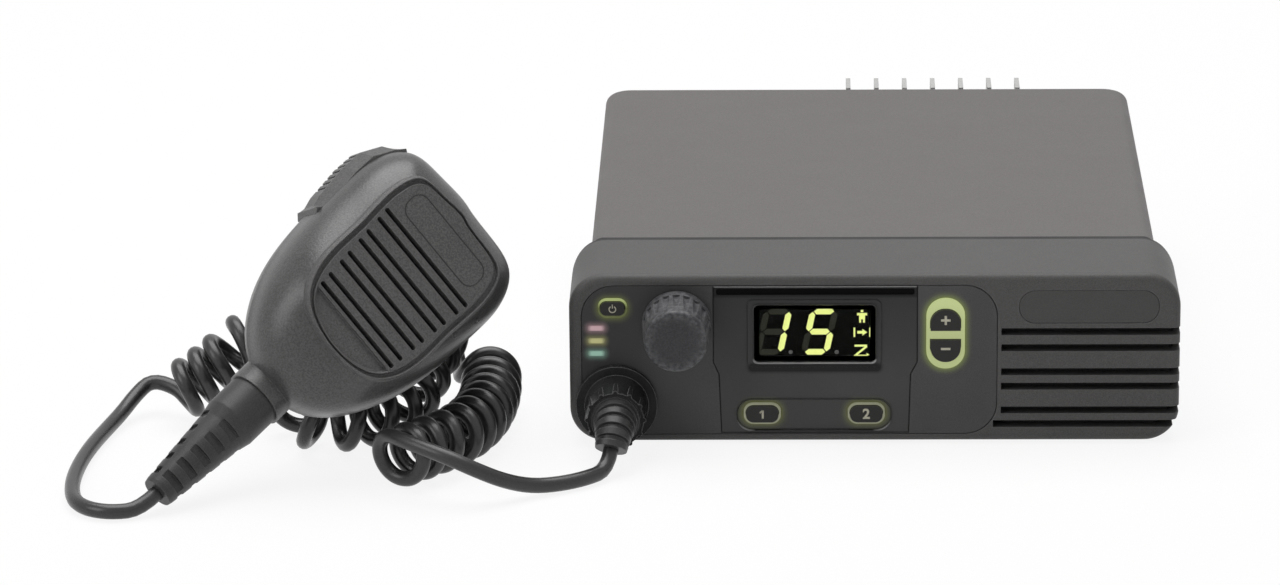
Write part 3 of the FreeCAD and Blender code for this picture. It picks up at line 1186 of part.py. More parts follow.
def build_mic_inside():
    """Board, capsule with its rubber holder, talk switch and talk key."""
    low = size("mic_board_level")
    high = low + size("board_thick")
    half = size("mic_board_half")
    board = mic_block((-half, half), (size("mic_board_low") - 3, size("mic_board_high") + 3),
                      (low - 1, high - 1))
    board = board.cut([mic_stud(u, size(row), size("mic_screw_shank") + 0.3, 0, 10)
                       for u, row in MIC_SCREWS])
    mic_node("mic_board", mic_feature("mic_board", board))
    v = size("capsule_v")
    face = size("mic_face") - size("mic_wall")
    radius = size("capsule_radius")
    tube = mic_stud(0, v, radius + size("holder_wall"), high - 0.9, face - 0.2)
    tube = tube.cut(mic_stud(0, v, radius + 0.05, high + 1, face + 1))
    mic_node("cartridge_holder", mic_feature("cartridge_holder", tube))
    capsule = mic_stud(0, v, radius, face - size("capsule_length"), face + 0.6)
    mic_node("mic_cartridge", mic_feature("mic_cartridge", capsule))
    inner = -size("talk_inner") + size("talk_travel") + size("switch_gap")
    switch = mic_block((inner + 1.2, inner + 6.5), (54, 60), (high - 0.95, high + 3.0))
    button = mic_block((inner, inner + 1.3), (55.5, 58.5), (high, high + 2.2))
    mic_node("talk_switch", mic_feature("talk_switch", switch.fuse(button).removeSplitter()))
    key_back = size("talk_back")
    key_front = size("talk_front")
    key = Part.makeLoft([talk_outline(key_back, 0.9), talk_outline(key_back + 1.2),
                         talk_outline(key_front - 5.5),
                         talk_outline(key_front, size("talk_bevel"))], True, True)
    ribs = []
    for index in range(int(size("talk_ribs"))):
        v = size("talk_low") + 9.5 + index * size("talk_rib_pitch")
        reach = -size("talk_outer") + size("talk_rib_depth") + max(0, 58 - v) * 0.13
        ribs.append(mic_block((-60, reach), (v, v + 1.0), (key_back - 1, key_front - 6)))
    mic_node("talk_key", mic_feature("talk_key", key.cut(ribs).removeSplitter()))


def build_mic_boot():
    """Long strain relief: a cone with rows of oval pockets and a spigot into the neck."""
    reach = size("mic_boot_length")
    neck = size("neck_length")
    big = size("boot_big")
    small = size("boot_small")
    profile = Part.makePolygon([Vector(0, -reach, 0), Vector(small, -reach, 0),
                                Vector(small + 0.3, -reach + 1.2, 0),
                                Vector(big - 0.9, -16, 0), Vector(big, -12, 0),
                                Vector(big, -neck, 0),
                                Vector(size("neck_bore") - size("spigot_gap"), -neck, 0),
                                Vector(size("neck_bore") - size("spigot_gap"), 6, 0),
                                Vector(0, 6, 0), Vector(0, -reach, 0)])
    solid = Part.Face(profile).revolve(Vector(), Vector(0, 1, 0), 360)
    pockets = []
    for row in range(int(size("pocket_rows"))):
        v = -16.5 - row * size("pocket_pitch")
        share = (-v - 12) / (reach - 12)
        radius = big + (small - big) * share
        for quarter in range(4):
            wide = size("pocket_width") if quarter % 2 == 0 else size("pocket_width") * 0.75
            pit = mic_block((-wide, wide), (v - size("pocket_length") / 2,
                                            v + size("pocket_length") / 2),
                            (radius - size("pocket_depth"), radius + 3))
            pit.rotate(Vector(), Vector(0, 1, 0), 90 * quarter)
            pockets.append(pit)
    mic_node("mic_boot", mic_feature("mic_boot", solid.cut(pockets)))


def regular_section(point, direction, side_hint):
    """A many-sided cord section square to a direction."""
    radius = size("cord_diameter") / 2
    count = int(size("cord_sides"))
    direction = Vector(direction).normalize()
    across = Vector(side_hint) - direction * Vector(side_hint).dot(direction)
    across.normalize()
    up = direction.cross(across)
    corners = []
    for index in range(count):
        angle = 2 * math.pi * (index + 0.5) / count
        corners.append(point + across * (radius * math.cos(angle)) + up * (radius * math.sin(angle)))
    return Part.makePolygon(corners + corners[:1])


def round_route(points):
    """Straight runs joined by tangent arcs, as long as the runs allow, and their radii."""
    edges = []
    radii = []
    here = points[0]
    for before, corner, after in zip(points, points[1:], points[2:]):
        back = before - corner
        ahead = after - corner
        turn = math.pi - back.getAngle(ahead)
        trim = 0.45 * min(back.Length, ahead.Length)
        radius = trim / math.tan(turn / 2)
        start = corner + Vector(back).normalize() * trim
        end = corner + Vector(ahead).normalize() * trim
        inward = (Vector(back).normalize() + Vector(ahead).normalize()).normalize()
        to_centre = radius / math.cos(turn / 2)
        middle = corner + inward * (to_centre - radius)
        edges.append(Part.LineSegment(here, start).toShape())
        edges.append(Part.Arc(start, middle, end).toShape())
        radii.append(radius)
        here = end
    edges.append(Part.LineSegment(here, points[-1]).toShape())
    return Part.Wire(edges), radii


def build_lead(label, points):
    """A plain stretch of cord along its route."""
    path, radii = round_route(points)
    direction = points[1] - points[0]
    section = regular_section(points[0], direction, direction.cross(Vector(0, 0, 1)))
    piece = doc.addObject("Part::Feature", label)
    piece.Shape = path.makePipeShell([section], True, False)
    count = size("cord_sides")
    area = 0.5 * count * (size("cord_diameter") / 2) ** 2 * math.sin(2 * math.pi / count)
    print(label, "length %.1f" % path.Length, "volume share %.4f" %
          (piece.Shape.Volume / (area * path.Length)),
          "radii", " ".join("%.0f" % radius for radius in radii))
    node(label, piece)


# Guide points of the curls' middle line: across, back, height, and the pitch wanted there.
CURL_ROUTE = [(-201.6, -84.0, 9.3, 5.4), (-191.4, -81.4, 15.7, 5.4), (-185.3, -79.6, 21.5, 5.8),
              (-177.2, -74.4, 25.6, 8.2), (-169.2, -67.8, 26.4, 10.0), (-160.8, -67.2, 21.2, 10.0),
              (-158.9, -76.0, 13.2, 9.8), (-162.2, -87.2, 9.2, 9.0), (-167.6, -97.0, 9.3, 9.0),
              (-164.5, -107.5, 9.25, 8.5), (-153.4, -110.4, 9.3, 7.3), (-143.2, -106.1, 9.2, 7.3),
              (-135.6, -97.2, 9.6, 7.4), (-131.4, -86.9, 14.6, 8.0), (-128.2, -77.6, 21.3, 8.8),
              (-127.6, -66.8, 20.6, 10.6), (-119.7, -61.8, 15.0, 10.6), (-112.1, -66.4, 9.5, 10.0),
              (-111.3, -76.8, 9.2, 8.2), (-111.3, -91.8, 9.3, 6.8), (-113.5, -108.1, 9.25, 6.8),
              (-119.6, -123.4, 9.3, 6.8), (-127.3, -131.3, 9.25, 6.8), (-136.0, -142.0, 9.25, 6.8)]
# The curls start and end at these turns, counted from the camera's side of the middle line.
CURL_TURNS = (-0.375, 29.25)
# The plain leads lie on the ground between these corners and rise from it to the curls.
MIC_LEAD = [(-212.8, -166.2, 2.22), (-219.6, -164.0, 2.22), (-224.2, -158.4, 2.22),
            (-226.2, -150.6, 2.22), (-227.2, -140.0, 2.22), (-226.8, -125.6, 2.22),
            (-225.0, -110.4, 2.22), (-222.2, -96.0, 2.22), (-219.0, -85.4, 3.3),
            (-215.6, -77.8, 6.3), (-211.2, -73.4, 9.6)]
PLUG_LEAD = [(-120.2, -154.2, 14.2), (-112.4, -154.2, 10.4), (-104.6, -151.8, 6.2),
             (-97.0, -147.4, 3.0), (-89.3, -143.6, 2.25), (-81.8, -138.8, 2.25)]
ROUTE_STEPS = 48


def sample_route():
    """Close points of the curls' smooth middle line, their directions and the curls' phases."""
    poles = [Vector(*row[:3]) for row in CURL_ROUTE]
    spans = len(poles) - 2
    curve = Part.BSplineCurve()
    curve.buildFromPolesMultsKnots(poles, [3] + [1] * (spans - 1) + [3], list(range(spans + 1)),
                                   False, 2)
    last = spans * ROUTE_STEPS
    points = [curve.value(index / ROUTE_STEPS) for index in range(last + 1)]
    lengths = [points[index].distanceToPoint(points[index - 1]) for index in range(1, last + 1)]
    reach = ROUTE_STEPS // 4
    heads = []
    for index in range(last + 1):
        ahead = points[min(index + reach, last)] - points[max(index - reach, 0)]
        heads.append(ahead.normalize())
    radius = size("curl_radius")
    phases = [0.0]
    for index in range(1, last + 1):
        low = max(0, index - reach)
        high = min(last, index + reach)
        bend = heads[low].getAngle(heads[high]) / sum(lengths[low:high])
        place = index / ROUTE_STEPS + 0.5
        knot = min(int(place), spans)
        share = place - knot
        wanted = CURL_ROUTE[knot][3] * (1 - share) + CURL_ROUTE[knot + 1][3] * share
        room = (size("cord_diameter") + size("curl_gap")) / max(0.3, 1 - radius * bend)
        phases.append(phases[-1] + 2 * math.pi * lengths[index - 1] / max(wanted, room))
    first, last = CURL_TURNS
    scale = (last - first) / phases[-1]
    return points, heads, [2 * math.pi * (first + phase * scale) for phase in phases]


def curl_stations():
    """Places and directions of the curly cord's wire at every half turn of its helix."""
    points, heads, phases = sample_route()
    radius = size("curl_radius")
    last = len(points) - 1

    def at(phase):
        index = min(max(bisect(phases, phase), 1), last)
        share = (phase - phases[index - 1]) / (phases[index] - phases[index - 1])
        middle = points[index - 1] + (points[index] - points[index - 1]) * share
        head = heads[index - 1] + (heads[index] - heads[index - 1]) * share
        right = Vector(head.y, -head.x, 0).normalize()
        up = right.cross(head).normalize()
        return middle + right * (radius * math.cos(phase)) + up * (radius * math.sin(phase))

    stations = []
    count = round(2 * (CURL_TURNS[1] - CURL_TURNS[0]))
    for index in range(count + 1):
        phase = phases[0] + (phases[-1] - phases[0]) * index / count
        before = at(max(phase - 0.02, phases[0]))
        after = at(min(phase + 0.02, phases[-1]))
        stations.append((at(phase), (after - before).normalize()))
    return stations


def bisect(values, wanted):
    """The first place in a rising list that lies beyond a value."""
    low, high = 0, len(values)
    while low < high:
        middle = (low + high) // 2
        if values[middle] <= wanted:
            low = middle + 1
        else:
            high = middle
    return low


def arc_between(start, direction, end):
    """The arc that leaves a point in a direction and passes through another."""
    chord = end - start
    unit = Vector(chord).normalize()
    side = direction - unit * direction.dot(unit)
    if side.Length < 1e-7:
        return Part.LineSegment(start, end).toShape()
    angle = direction.getAngle(chord)
    middle = (start + end) * 0.5 + side.normalize() * (chord.Length / 2 * math.tan(angle / 2))
    return Part.Arc(start, middle, end).toShape()


def biarc(start, direction, end, end_direction):
    """Two arcs that join two points with given directions."""
    gap = end - start
    both = direction + end_direction
    spread = 2 * (1 - direction.dot(end_direction))
    along_ = gap.dot(both)
    reach = (-along_ + math.sqrt(along_ ** 2 + spread * gap.dot(gap))) / spread
    joint = (start + direction * reach + end - end_direction * reach) * 0.5
    first = arc_between(start, direction, joint)
    second = arc_between(end, end_direction * -1, joint)
    return [first, second]


def least_gap(path):
    """The smallest clear space between parts of a wound cord that aren't neighbours."""
    step = 0.8
    dense = path.discretize(Number=int(path.Length / step))
    width = size("cord_diameter")
    skip = int(4 * width / step)
    least = 1e9
    cells = {}
    for index, point in enumerate(dense):
        home = (int(point.x // 8), int(point.y // 8), int(point.z // 8))
        for dx in (-1, 0, 1):
            for dy in (-1, 0, 1):
                for dz in (-1, 0, 1):
                    near = cells.get((home[0] + dx, home[1] + dy, home[2] + dz), [])
                    for other in near:
                        if other < index - skip:
                            least = min(least, point.distanceToPoint(dense[other]))
        cells.setdefault(home, []).append(index)
    return least - width


def build_curls():
    """The curly part of the cord, one unbroken tube."""
    stations = curl_stations()
    width = size("cord_diameter")
    first_point, first_head = stations[0]
    last_point, last_head = stations[-1]
    start = first_point - first_head * width
    end = last_point + last_head * width
    edges = [Part.LineSegment(start, first_point).toShape()]
    for (here, head), (there, next_head) in zip(stations, stations[1:]):
        edges += biarc(here, head, there, next_head)
    edges.append(Part.LineSegment(last_point, end).toShape())
    path = Part.Wire(Part.__sortEdges__(edges))
    section = regular_section(start, first_head, first_head.cross(Vector(0, 0, 1)))
    piece = doc.addObject("Part::Feature", "cord_curls")
    piece.Shape = path.makePipeShell([section], True, False)
    count = size("cord_sides")
    area = 0.5 * count * (width / 2) ** 2 * math.sin(2 * math.pi / count)
    print("cord_curls length %.1f least gap %.2f volume share %.4f lowest %.2f"
          % (path.Length, least_gap(path), piece.Shape.Volume / (area * path.Length),
             piece.Shape.BoundBox.ZMin))
    node("cord_curls", piece)
    return start, end, first_head, last_head


def reach_level(point, direction, level):
    """Where a line from a point comes down to a level."""
    return point + direction * ((level - point.z) / direction.z)


def build_cord():
    """Microphone lead, curls and plug lead, meeting face to face."""
    start, end, start_head, end_head = build_curls()
    mic = mic_placement()
    tip = mic.multVec(Vector(0, -size("mic_boot_length"), 0))
    away = mic.Rotation.multVec(Vector(0, -1, 0))
    lead = [tip, reach_level(tip, away, MIC_LEAD[0][2])]
    lead += [Vector(x, y, z) for x, y, z in MIC_LEAD]
    lead += [start - start_head * 5.2, start]
    build_lead("mic_lead", lead)
    boot_tip, boot_head = plug_boot_path(1.0)
    lead = [end, end + end_head * 8]
    lead += [Vector(x, y, z) for x, y, z in PLUG_LEAD]
    lead += [reach_level(boot_tip, boot_head, PLUG_LEAD[-1][2]), boot_tip]
    build_lead("plug_lead", lead)


for build in (build_chassis, build_cover, build_cover_screws, build_board, build_antenna,
              build_rear_sockets, build_head_housing, build_head_back, build_fascia,
              build_centre, build_channel_keys, build_face_inside, build_knob, build_speaker,
              build_plug, build_plug_boot, build_mic_shells, build_mic_front, build_mic_inside,
              build_mic_boot, build_cord):
    build()
for key_name in KEYS:
    build_key(key_name)

doc.recompute()
for piece in doc.Objects:
    if "Invalid" in piece.State or "Error" in piece.State:
        raise RuntimeError(f"{piece.Label} failed to build")
for piece in nodes:
    shape = piece.Shape
    if shape.isNull() or not shape.isValid() or not shape.Solids:
        raise RuntimeError(f"{piece.Label} is not a valid solid")
os.makedirs("parts", exist_ok=True)
for piece in nodes:
    piece.Shape.exportStep(f"parts/{piece.Label}.step")
print(len(nodes), "nodes")
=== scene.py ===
import math

import bmesh
import bpy
from mathutils import Matrix, Vector


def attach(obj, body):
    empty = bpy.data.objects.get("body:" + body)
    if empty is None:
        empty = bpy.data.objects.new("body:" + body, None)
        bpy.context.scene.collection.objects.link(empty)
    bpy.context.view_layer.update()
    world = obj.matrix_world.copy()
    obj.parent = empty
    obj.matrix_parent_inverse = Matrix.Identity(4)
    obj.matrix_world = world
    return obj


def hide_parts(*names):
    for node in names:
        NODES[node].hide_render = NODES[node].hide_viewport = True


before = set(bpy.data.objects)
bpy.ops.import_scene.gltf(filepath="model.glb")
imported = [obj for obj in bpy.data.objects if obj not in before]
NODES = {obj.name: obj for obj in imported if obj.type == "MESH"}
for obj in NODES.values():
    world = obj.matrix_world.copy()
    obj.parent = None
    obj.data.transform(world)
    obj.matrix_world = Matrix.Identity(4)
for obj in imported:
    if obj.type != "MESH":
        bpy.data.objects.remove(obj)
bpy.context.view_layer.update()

# A dash-mount two-way radio with its fist microphone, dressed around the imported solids.
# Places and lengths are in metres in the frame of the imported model. Names that end in _MM hold
# millimetres, and so do the places and sizes of the face's lights, shades, signs and lips.

MM = 0.001
X, Y, Z = range(3)
scene = bpy.context.scene


def axes_at(place, first, second, third):
    """A frame at a place whose axes point in three directions."""
    return Matrix.Translation(place) @ Matrix((first, second, third)).transposed().to_4x4()


# The camera that took the photograph, as fitted to the radio's edges: where it stands, and how
# far it is tilted down, turned to the right and rolled, in degrees.

CAMERA_PLACE = Vector((-0.024, -1.746, 0.582))
CAMERA_TURNS = (18.07, -1.50, -0.59)
CAMERA_CLIP = (0.05, 20.0)
SENSOR_WIDTH_MM = 36.0
FOCAL_LENGTH_MM = 170.07


def make_camera():
    """Place the fitted camera and look through it."""
    tilt, yaw, roll = (math.radians(angle) for angle in CAMERA_TURNS)
    ahead = Vector((math.sin(yaw) * math.cos(tilt), math.cos(yaw) * math.cos(tilt),
                    -math.sin(tilt)))
    level = Vector((math.cos(yaw), -math.sin(yaw), 0))
    upright = level.cross(ahead)
    right = level * math.cos(roll) + upright * math.sin(roll)
    up = upright * math.cos(roll) - level * math.sin(roll)
    data = bpy.data.cameras.new("camera")
    data.sensor_width = SENSOR_WIDTH_MM
    data.lens = FOCAL_LENGTH_MM
    data.clip_start, data.clip_end = CAMERA_CLIP
    camera = bpy.data.objects.new("camera", data)
    camera.matrix_world = axes_at(CAMERA_PLACE, right, up, -ahead)
    scene.collection.objects.link(camera)
    scene.camera = camera


# The cord's route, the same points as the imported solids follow. Each row of the curls' route
# ends with the advance that a turn is wanted to have there.

CORD_DIAMETER = 0.0044
CURL_RADIUS = 0.0068
CURL_GAP = 0.0012
FIRST_TURN, LAST_TURN = -0.375, 29.25
BOOT_TIP = Vector((-0.2012, -0.1594, 0.00554))
PLUG_TIP = Vector((-0.0751, -0.1283, 0.0071))
MIC_LEAD_MM = [(-205.7, -163.7, 2.22), (-212.8, -166.2, 2.22), (-219.6, -164.0, 2.22),
               (-224.2, -158.4, 2.22), (-226.2, -150.6, 2.22), (-227.2, -140.0, 2.22),
               (-226.8, -125.6, 2.22), (-225.0, -110.4, 2.22), (-222.2, -96.0, 2.22),
               (-219.0, -85.4, 3.3), (-215.6, -77.8, 6.3), (-211.2, -73.4, 9.6)]
CURL_ROUTE_MM = [(-201.6, -84.0, 9.3, 5.4), (-191.4, -81.4, 15.7, 5.4),
                 (-185.3, -79.6, 21.5, 5.8), (-177.2, -74.4, 25.6, 8.2),
                 (-169.2, -67.8, 26.4, 10.0), (-160.8, -67.2, 21.2, 10.0),
                 (-158.9, -76.0, 13.2, 9.8), (-162.2, -87.2, 9.2, 9.0),
                 (-167.6, -97.0, 9.3, 9.0), (-164.5, -107.5, 9.25, 8.5),
                 (-153.4, -110.4, 9.3, 7.3), (-143.2, -106.1, 9.2, 7.3),
                 (-135.6, -97.2, 9.6, 7.4), (-131.4, -86.9, 14.6, 8.0),
                 (-128.2, -77.6, 21.3, 8.8), (-127.6, -66.8, 20.6, 10.6),
                 (-119.7, -61.8, 15.0, 10.6), (-112.1, -66.4, 9.5, 10.0),
                 (-111.3, -76.8, 9.2, 8.2), (-111.3, -91.8, 9.3, 6.8),
                 (-113.5, -108.1, 9.25, 6.8), (-119.6, -123.4, 9.3, 6.8),
                 (-127.3, -131.3, 9.25, 6.8), (-136.0, -142.0, 9.25, 6.8)]
PLUG_LEAD_MM = [(-120.2, -154.2, 14.2), (-112.4, -154.2, 10.4), (-104.6, -151.8, 6.2),
                (-97.0, -147.4, 3.0), (-89.3, -143.6, 2.25), (-81.8, -138.8, 2.25),
                (-76.1, -131.95, 2.25)]
# The straight stretches before and after the curls.
CURL_START_MM, CURL_END_MM = 5.2, 8.0
# How finely the route is read: points to a span, and how many of them to each side give the
# route's direction. The least share of its advance that a turn keeps on the inside of a bend.
ROUTE_STEPS = 48
HEAD_REACH = 12
LEAST_INSIDE = 0.3
# How finely the curls are drawn: guide points to a turn, and the angle back from an end of the
# winding that gives the cord's direction there. Steps to a span and round the cord's tube.
TURN_POINTS = 16
END_SWING = 0.02
CORD_STEPS, CORD_ROUNDNESS = 4, 5


def smooth_curve(name, points):
    """A smooth line that the points guide, as a curve; a tube round it has the cord's radius."""
    data = bpy.data.curves.new(name, "CURVE")
    data.dimensions = "3D"
    line = data.splines.new("NURBS")
    line.points.add(len(points) - 1)
    for corner, point in zip(line.points, points):
        corner.co = (*point, 1.0)
        corner.radius = CORD_DIAMETER / 2
    line.order_u = 3
    line.use_endpoint_u = True
    return bpy.data.objects.new(name, data)


def line_points(points, steps):
    """Points read from the smooth line that some points guide, the same number to each span."""
    guide = smooth_curve("guide", points)
    guide.data.resolution_u = steps
    scene.collection.objects.link(guide)
    bpy.context.view_layer.update()
    mesh = bpy.data.meshes.new_from_object(guide)
    found = [vertex.co.copy() for vertex in mesh.vertices]
    bpy.data.meshes.remove(mesh)
    data = guide.data
    bpy.data.objects.remove(guide)
    bpy.data.curves.remove(data)
    return found


def wound_line(route):
    """A route's middle line, its directions, and the winding's angle at each of its points."""
    middle = line_points([Vector(row[:3]) * MM for row in route], ROUTE_STEPS)
    last = len(middle) - 1
    lengths = [(middle[i] - middle[i - 1]).length for i in range(1, last + 1)]
    heads = [(middle[min(i + HEAD_REACH, last)] - middle[max(i - HEAD_REACH, 0)]).normalized()
             for i in range(last + 1)]
    spans = len(route) - 2
    turned = [0.0]
    for index in range(1, last + 1):
        low, high = max(0, index - HEAD_REACH), min(last, index + HEAD_REACH)
        bend = heads[low].angle(heads[high]) / sum(lengths[low:high])
        at = min(max(spans * index / last + 0.5, 0.5), spans + 0.5)
        knot = min(int(at), spans)
        share = at - knot
        wanted = (route[knot][3] * (1 - share) + route[knot + 1][3] * share) * MM
        room = (CORD_DIAMETER + CURL_GAP) / max(LEAST_INSIDE, 1 - CURL_RADIUS * bend)
        turned.append(turned[-1] + lengths[index - 1] / max(wanted, room))
    scale = (LAST_TURN - FIRST_TURN) / turned[-1]
    return middle, heads, [2 * math.pi * (FIRST_TURN + turn * scale) for turn in turned]


def curl_point(line, angle, radius):
    """The place on the winding at an angle."""
    middle, heads, angles = line
    index = 1
    while angles[index] < angle and index < len(angles) - 1:
        index += 1
    share = (angle - angles[index - 1]) / (angles[index] - angles[index - 1])
    centre = middle[index - 1].lerp(middle[index], share)
    head = heads[index - 1].lerp(heads[index], share).normalized()
    right = Vector((head.y, -head.x, 0)).normalized()
    up = right.cross(head).normalized()
    return centre + right * (radius * math.cos(angle)) + up * (radius * math.sin(angle))


def make_cord():
    """The whole cord as one smooth line: microphone lead, curls and plug lead."""
    line = wound_line(CURL_ROUTE_MM)
    first, last = line[2][0], line[2][-1]
    # The smooth line runs inside its guide points, so these lie a little farther out.
    guide_radius = CURL_RADIUS / ((6 + 2 * math.cos(2 * math.pi / TURN_POINTS)) / 8)
    count = int((LAST_TURN - FIRST_TURN) * TURN_POINTS)
    curls = [curl_point(line, first + (last - first) * step / count, guide_radius)
             for step in range(count + 1)]
    start = curl_point(line, first, CURL_RADIUS)
    end = curl_point(line, last, CURL_RADIUS)
    start_head = (curl_point(line, first + END_SWING, CURL_RADIUS) - start).normalized()
    end_head = (end - curl_point(line, last - END_SWING, CURL_RADIUS)).normalized()
    points = [BOOT_TIP] + [Vector(row) * MM for row in MIC_LEAD_MM]
    points += [start - start_head * CURL_START_MM * MM, start]
    points += curls[1:-1]
    points += [end, end + end_head * CURL_END_MM * MM]
    points += [Vector(row) * MM for row in PLUG_LEAD_MM] + [PLUG_TIP]
    cord = smooth_curve("microphone_cord", points)
    # Its points carry the tube's radius, which the depth multiplies.
    cord.data.bevel_depth = 1.0
    cord.data.resolution_u = CORD_STEPS
    cord.data.bevel_resolution = CORD_ROUNDNESS
    cord.data.use_fill_caps = True
    scene.collection.objects.link(cord)
    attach(cord, "radio")
    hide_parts("mic_lead", "cord_curls", "plug_lead")
    return cord


make_camera()
CORD = make_cord()


# Steps that build up shader trees.

def feed(tree, socket, item):
    """Give a socket a number, a colour or what another socket puts out."""
    if isinstance(item, tuple):
        socket.default_value = (*item, 1.0)
    elif isinstance(item, (int, float)):
        socket.default_value = item
    else:
        tree.links.new(item, socket)


def spread(tree, value, low, high, to_low=0.0, to_high=1.0):
    """A value mapped from one range to another; either end may be a socket."""
    node = tree.nodes.new("ShaderNodeMapRange")
    for label, item in (("Value", value), ("From Min", low), ("From Max", high),
                        ("To Min", to_low), ("To Max", to_high)):
        feed(tree, node.inputs[label], item)
    return node.outputs["Result"]


def arithmetic(tree, operation, first, second=0.0):
    """One step of arithmetic on sockets or numbers."""
    node = tree.nodes.new("ShaderNodeMath")
    node.operation = operation
    feed(tree, node.inputs[0], first)
    feed(tree, node.inputs[1], second)
    return node.outputs["Value"]


def blend_colours(tree, share, first, second):
    """A mix of two colours, each a socket or three numbers."""
    node = tree.nodes.new("ShaderNodeMix")
    node.data_type = "RGBA"
    # The Mix node has more sockets of these names; the ones for colours are numbers 6 and 7.
    for index, item in ((0, share), (6, first), (7, second)):
        feed(tree, node.inputs[index], item)
    return node.outputs[2]


def noise(tree, size_mm, detail=2.0):
    """Noise on the piece's own coordinates, with blobs of about this size."""
    if isinstance(size_mm, (int, float)):
        scale = 1.0 / (size_mm * MM)
    else:
        scale = arithmetic(tree, "DIVIDE", 1.0 / MM, size_mm)
    node = tree.nodes.new("ShaderNodeTexNoise")
    feed(tree, node.inputs["Scale"], scale)
    feed(tree, node.inputs["Detail"], detail)
    place = tree.nodes.new("ShaderNodeTexCoord").outputs["Object"]
    feed(tree, node.inputs["Vector"], place)
    return node.outputs["Fac"]


def own_place(tree):
    """The piece's own coordinates, apart, in millimetres."""
    large = tree.nodes.new("ShaderNodeVectorMath")
    large.operation = "SCALE"
    large.inputs["Scale"].default_value = 1.0 / MM
    feed(tree, large.inputs[0], tree.nodes.new("ShaderNodeTexCoord").outputs["Object"])
    split = tree.nodes.new("ShaderNodeSeparateXYZ")
    feed(tree, split.inputs[0], large.outputs["Vector"])
    return split.outputs


def new_material(name):
    """A material, its shader tree and its Principled BSDF."""
    material = bpy.data.materials.new(name)
    material.use_nodes = True
    tree = material.node_tree
    return material, tree, tree.nodes["Principled BSDF"]


def effect_group(name, inputs, outputs):
    """An empty shader group with named sockets, and its two ends."""
    tree = bpy.data.node_groups.new(name, "ShaderNodeTree")
    for label, kind, value in inputs:
        socket = tree.interface.new_socket(label, in_out="INPUT", socket_type=kind)
        socket.default_value = value
    for label, kind in outputs:
        tree.interface.new_socket(label, in_out="OUTPUT", socket_type=kind)
    return tree, tree.nodes.new("NodeGroupInput"), tree.nodes.new("NodeGroupOutput")


def add_effect(tree, effect, **values):
    """Place an effect in a tree with its own values; what it puts out."""
    node = tree.nodes.new("ShaderNodeGroup")
    node.node_tree = effect
    for label, value in values.items():
        feed(tree, node.inputs[label.replace("_", " ").title()], value)
    return node.outputs


# The effects that finishes share.

# Large clouds on a moulded surface and small blobs in a lit window, with their strength.
CLOUD_SIZE_MM, CLOUD_SHARE = 18.0, 0.12
LAMP_BLOB_MM, LAMP_BLOB_SHARE = 1.6, 0.15
# An edge shows where the rounded normal turns away from the true one: the cosines at which it
# starts and is full, how far it is rounded, and what rubbing adds to its roughness.
EDGE_TURNS = (0.995, 0.9)
EDGE_RADIUS_MM = 0.35
EDGE_POLISH = -0.08


def make_moulded_surface():
    """Grain, cloudiness and a tone on the edges of a moulded, cast or painted surface: a light
    edge tone is partly wear and partly painted highlight, a dark one is painted shade in a gap.
    """
    tree, start, end = effect_group(
        "moulded_surface",
        [("Colour", "NodeSocketColor", (0.05, 0.05, 0.05, 1.0)),
         ("Worn Colour", "NodeSocketColor", (0.12, 0.12, 0.12, 1.0)),
         ("Roughness", "NodeSocketFloat", 0.5),
         ("Roughness Spread", "NodeSocketFloat", 0.1),
         ("Speckle", "NodeSocketFloat", 0.15),
         ("Grain Size", "NodeSocketFloat", 0.3),
         ("Edge", "NodeSocketFloat", 0.4)],
        [("Color", "NodeSocketColor"), ("Roughness", "NodeSocketFloat"),
         ("Grain", "NodeSocketFloat"), ("Soft Normal", "NodeSocketVector")])
    given = start.outputs
    fine = spread(tree, noise(tree, given["Grain Size"]), 0.36, 0.64)
    cloud = spread(tree, noise(tree, CLOUD_SIZE_MM, 3.0), 0.3, 0.7)
    bevel = tree.nodes.new("ShaderNodeBevel")
    bevel.samples = 4
    bevel.inputs["Radius"].default_value = EDGE_RADIUS_MM * MM
    turn = tree.nodes.new("ShaderNodeVectorMath")
    turn.operation = "DOT_PRODUCT"
    feed(tree, turn.inputs[0], bevel.outputs["Normal"])
    feed(tree, turn.inputs[1], tree.nodes.new("ShaderNodeNewGeometry").outputs["Normal"])
    edge = spread(tree, turn.outputs["Value"], *EDGE_TURNS)
    # The edge tone is partly wear and partly painted highlight, and painted shade in the gaps
    # where it is near black.
    edge_share = arithmetic(tree, "MULTIPLY", edge, given["Edge"])
    speck = arithmetic(tree, "MULTIPLY", fine, given["Speckle"])
    patch = arithmetic(tree, "MULTIPLY", cloud, CLOUD_SHARE)
    share = arithmetic(tree, "ADD", arithmetic(tree, "ADD", speck, patch), edge_share)
    swing = arithmetic(tree, "MULTIPLY", arithmetic(tree, "SUBTRACT", cloud, 0.5),
                       given["Roughness Spread"])
    rough = arithmetic(tree, "ADD", given["Roughness"], swing)
    rough = arithmetic(tree, "ADD", rough, arithmetic(tree, "MULTIPLY", edge, EDGE_POLISH))
    colour = blend_colours(tree, share, given["Colour"], given["Worn Colour"])
    for label, item in (("Color", colour), ("Roughness", rough), ("Grain", fine),
                        ("Soft Normal", bevel.outputs["Normal"])):
        feed(tree, end.inputs[label], item)
    return tree


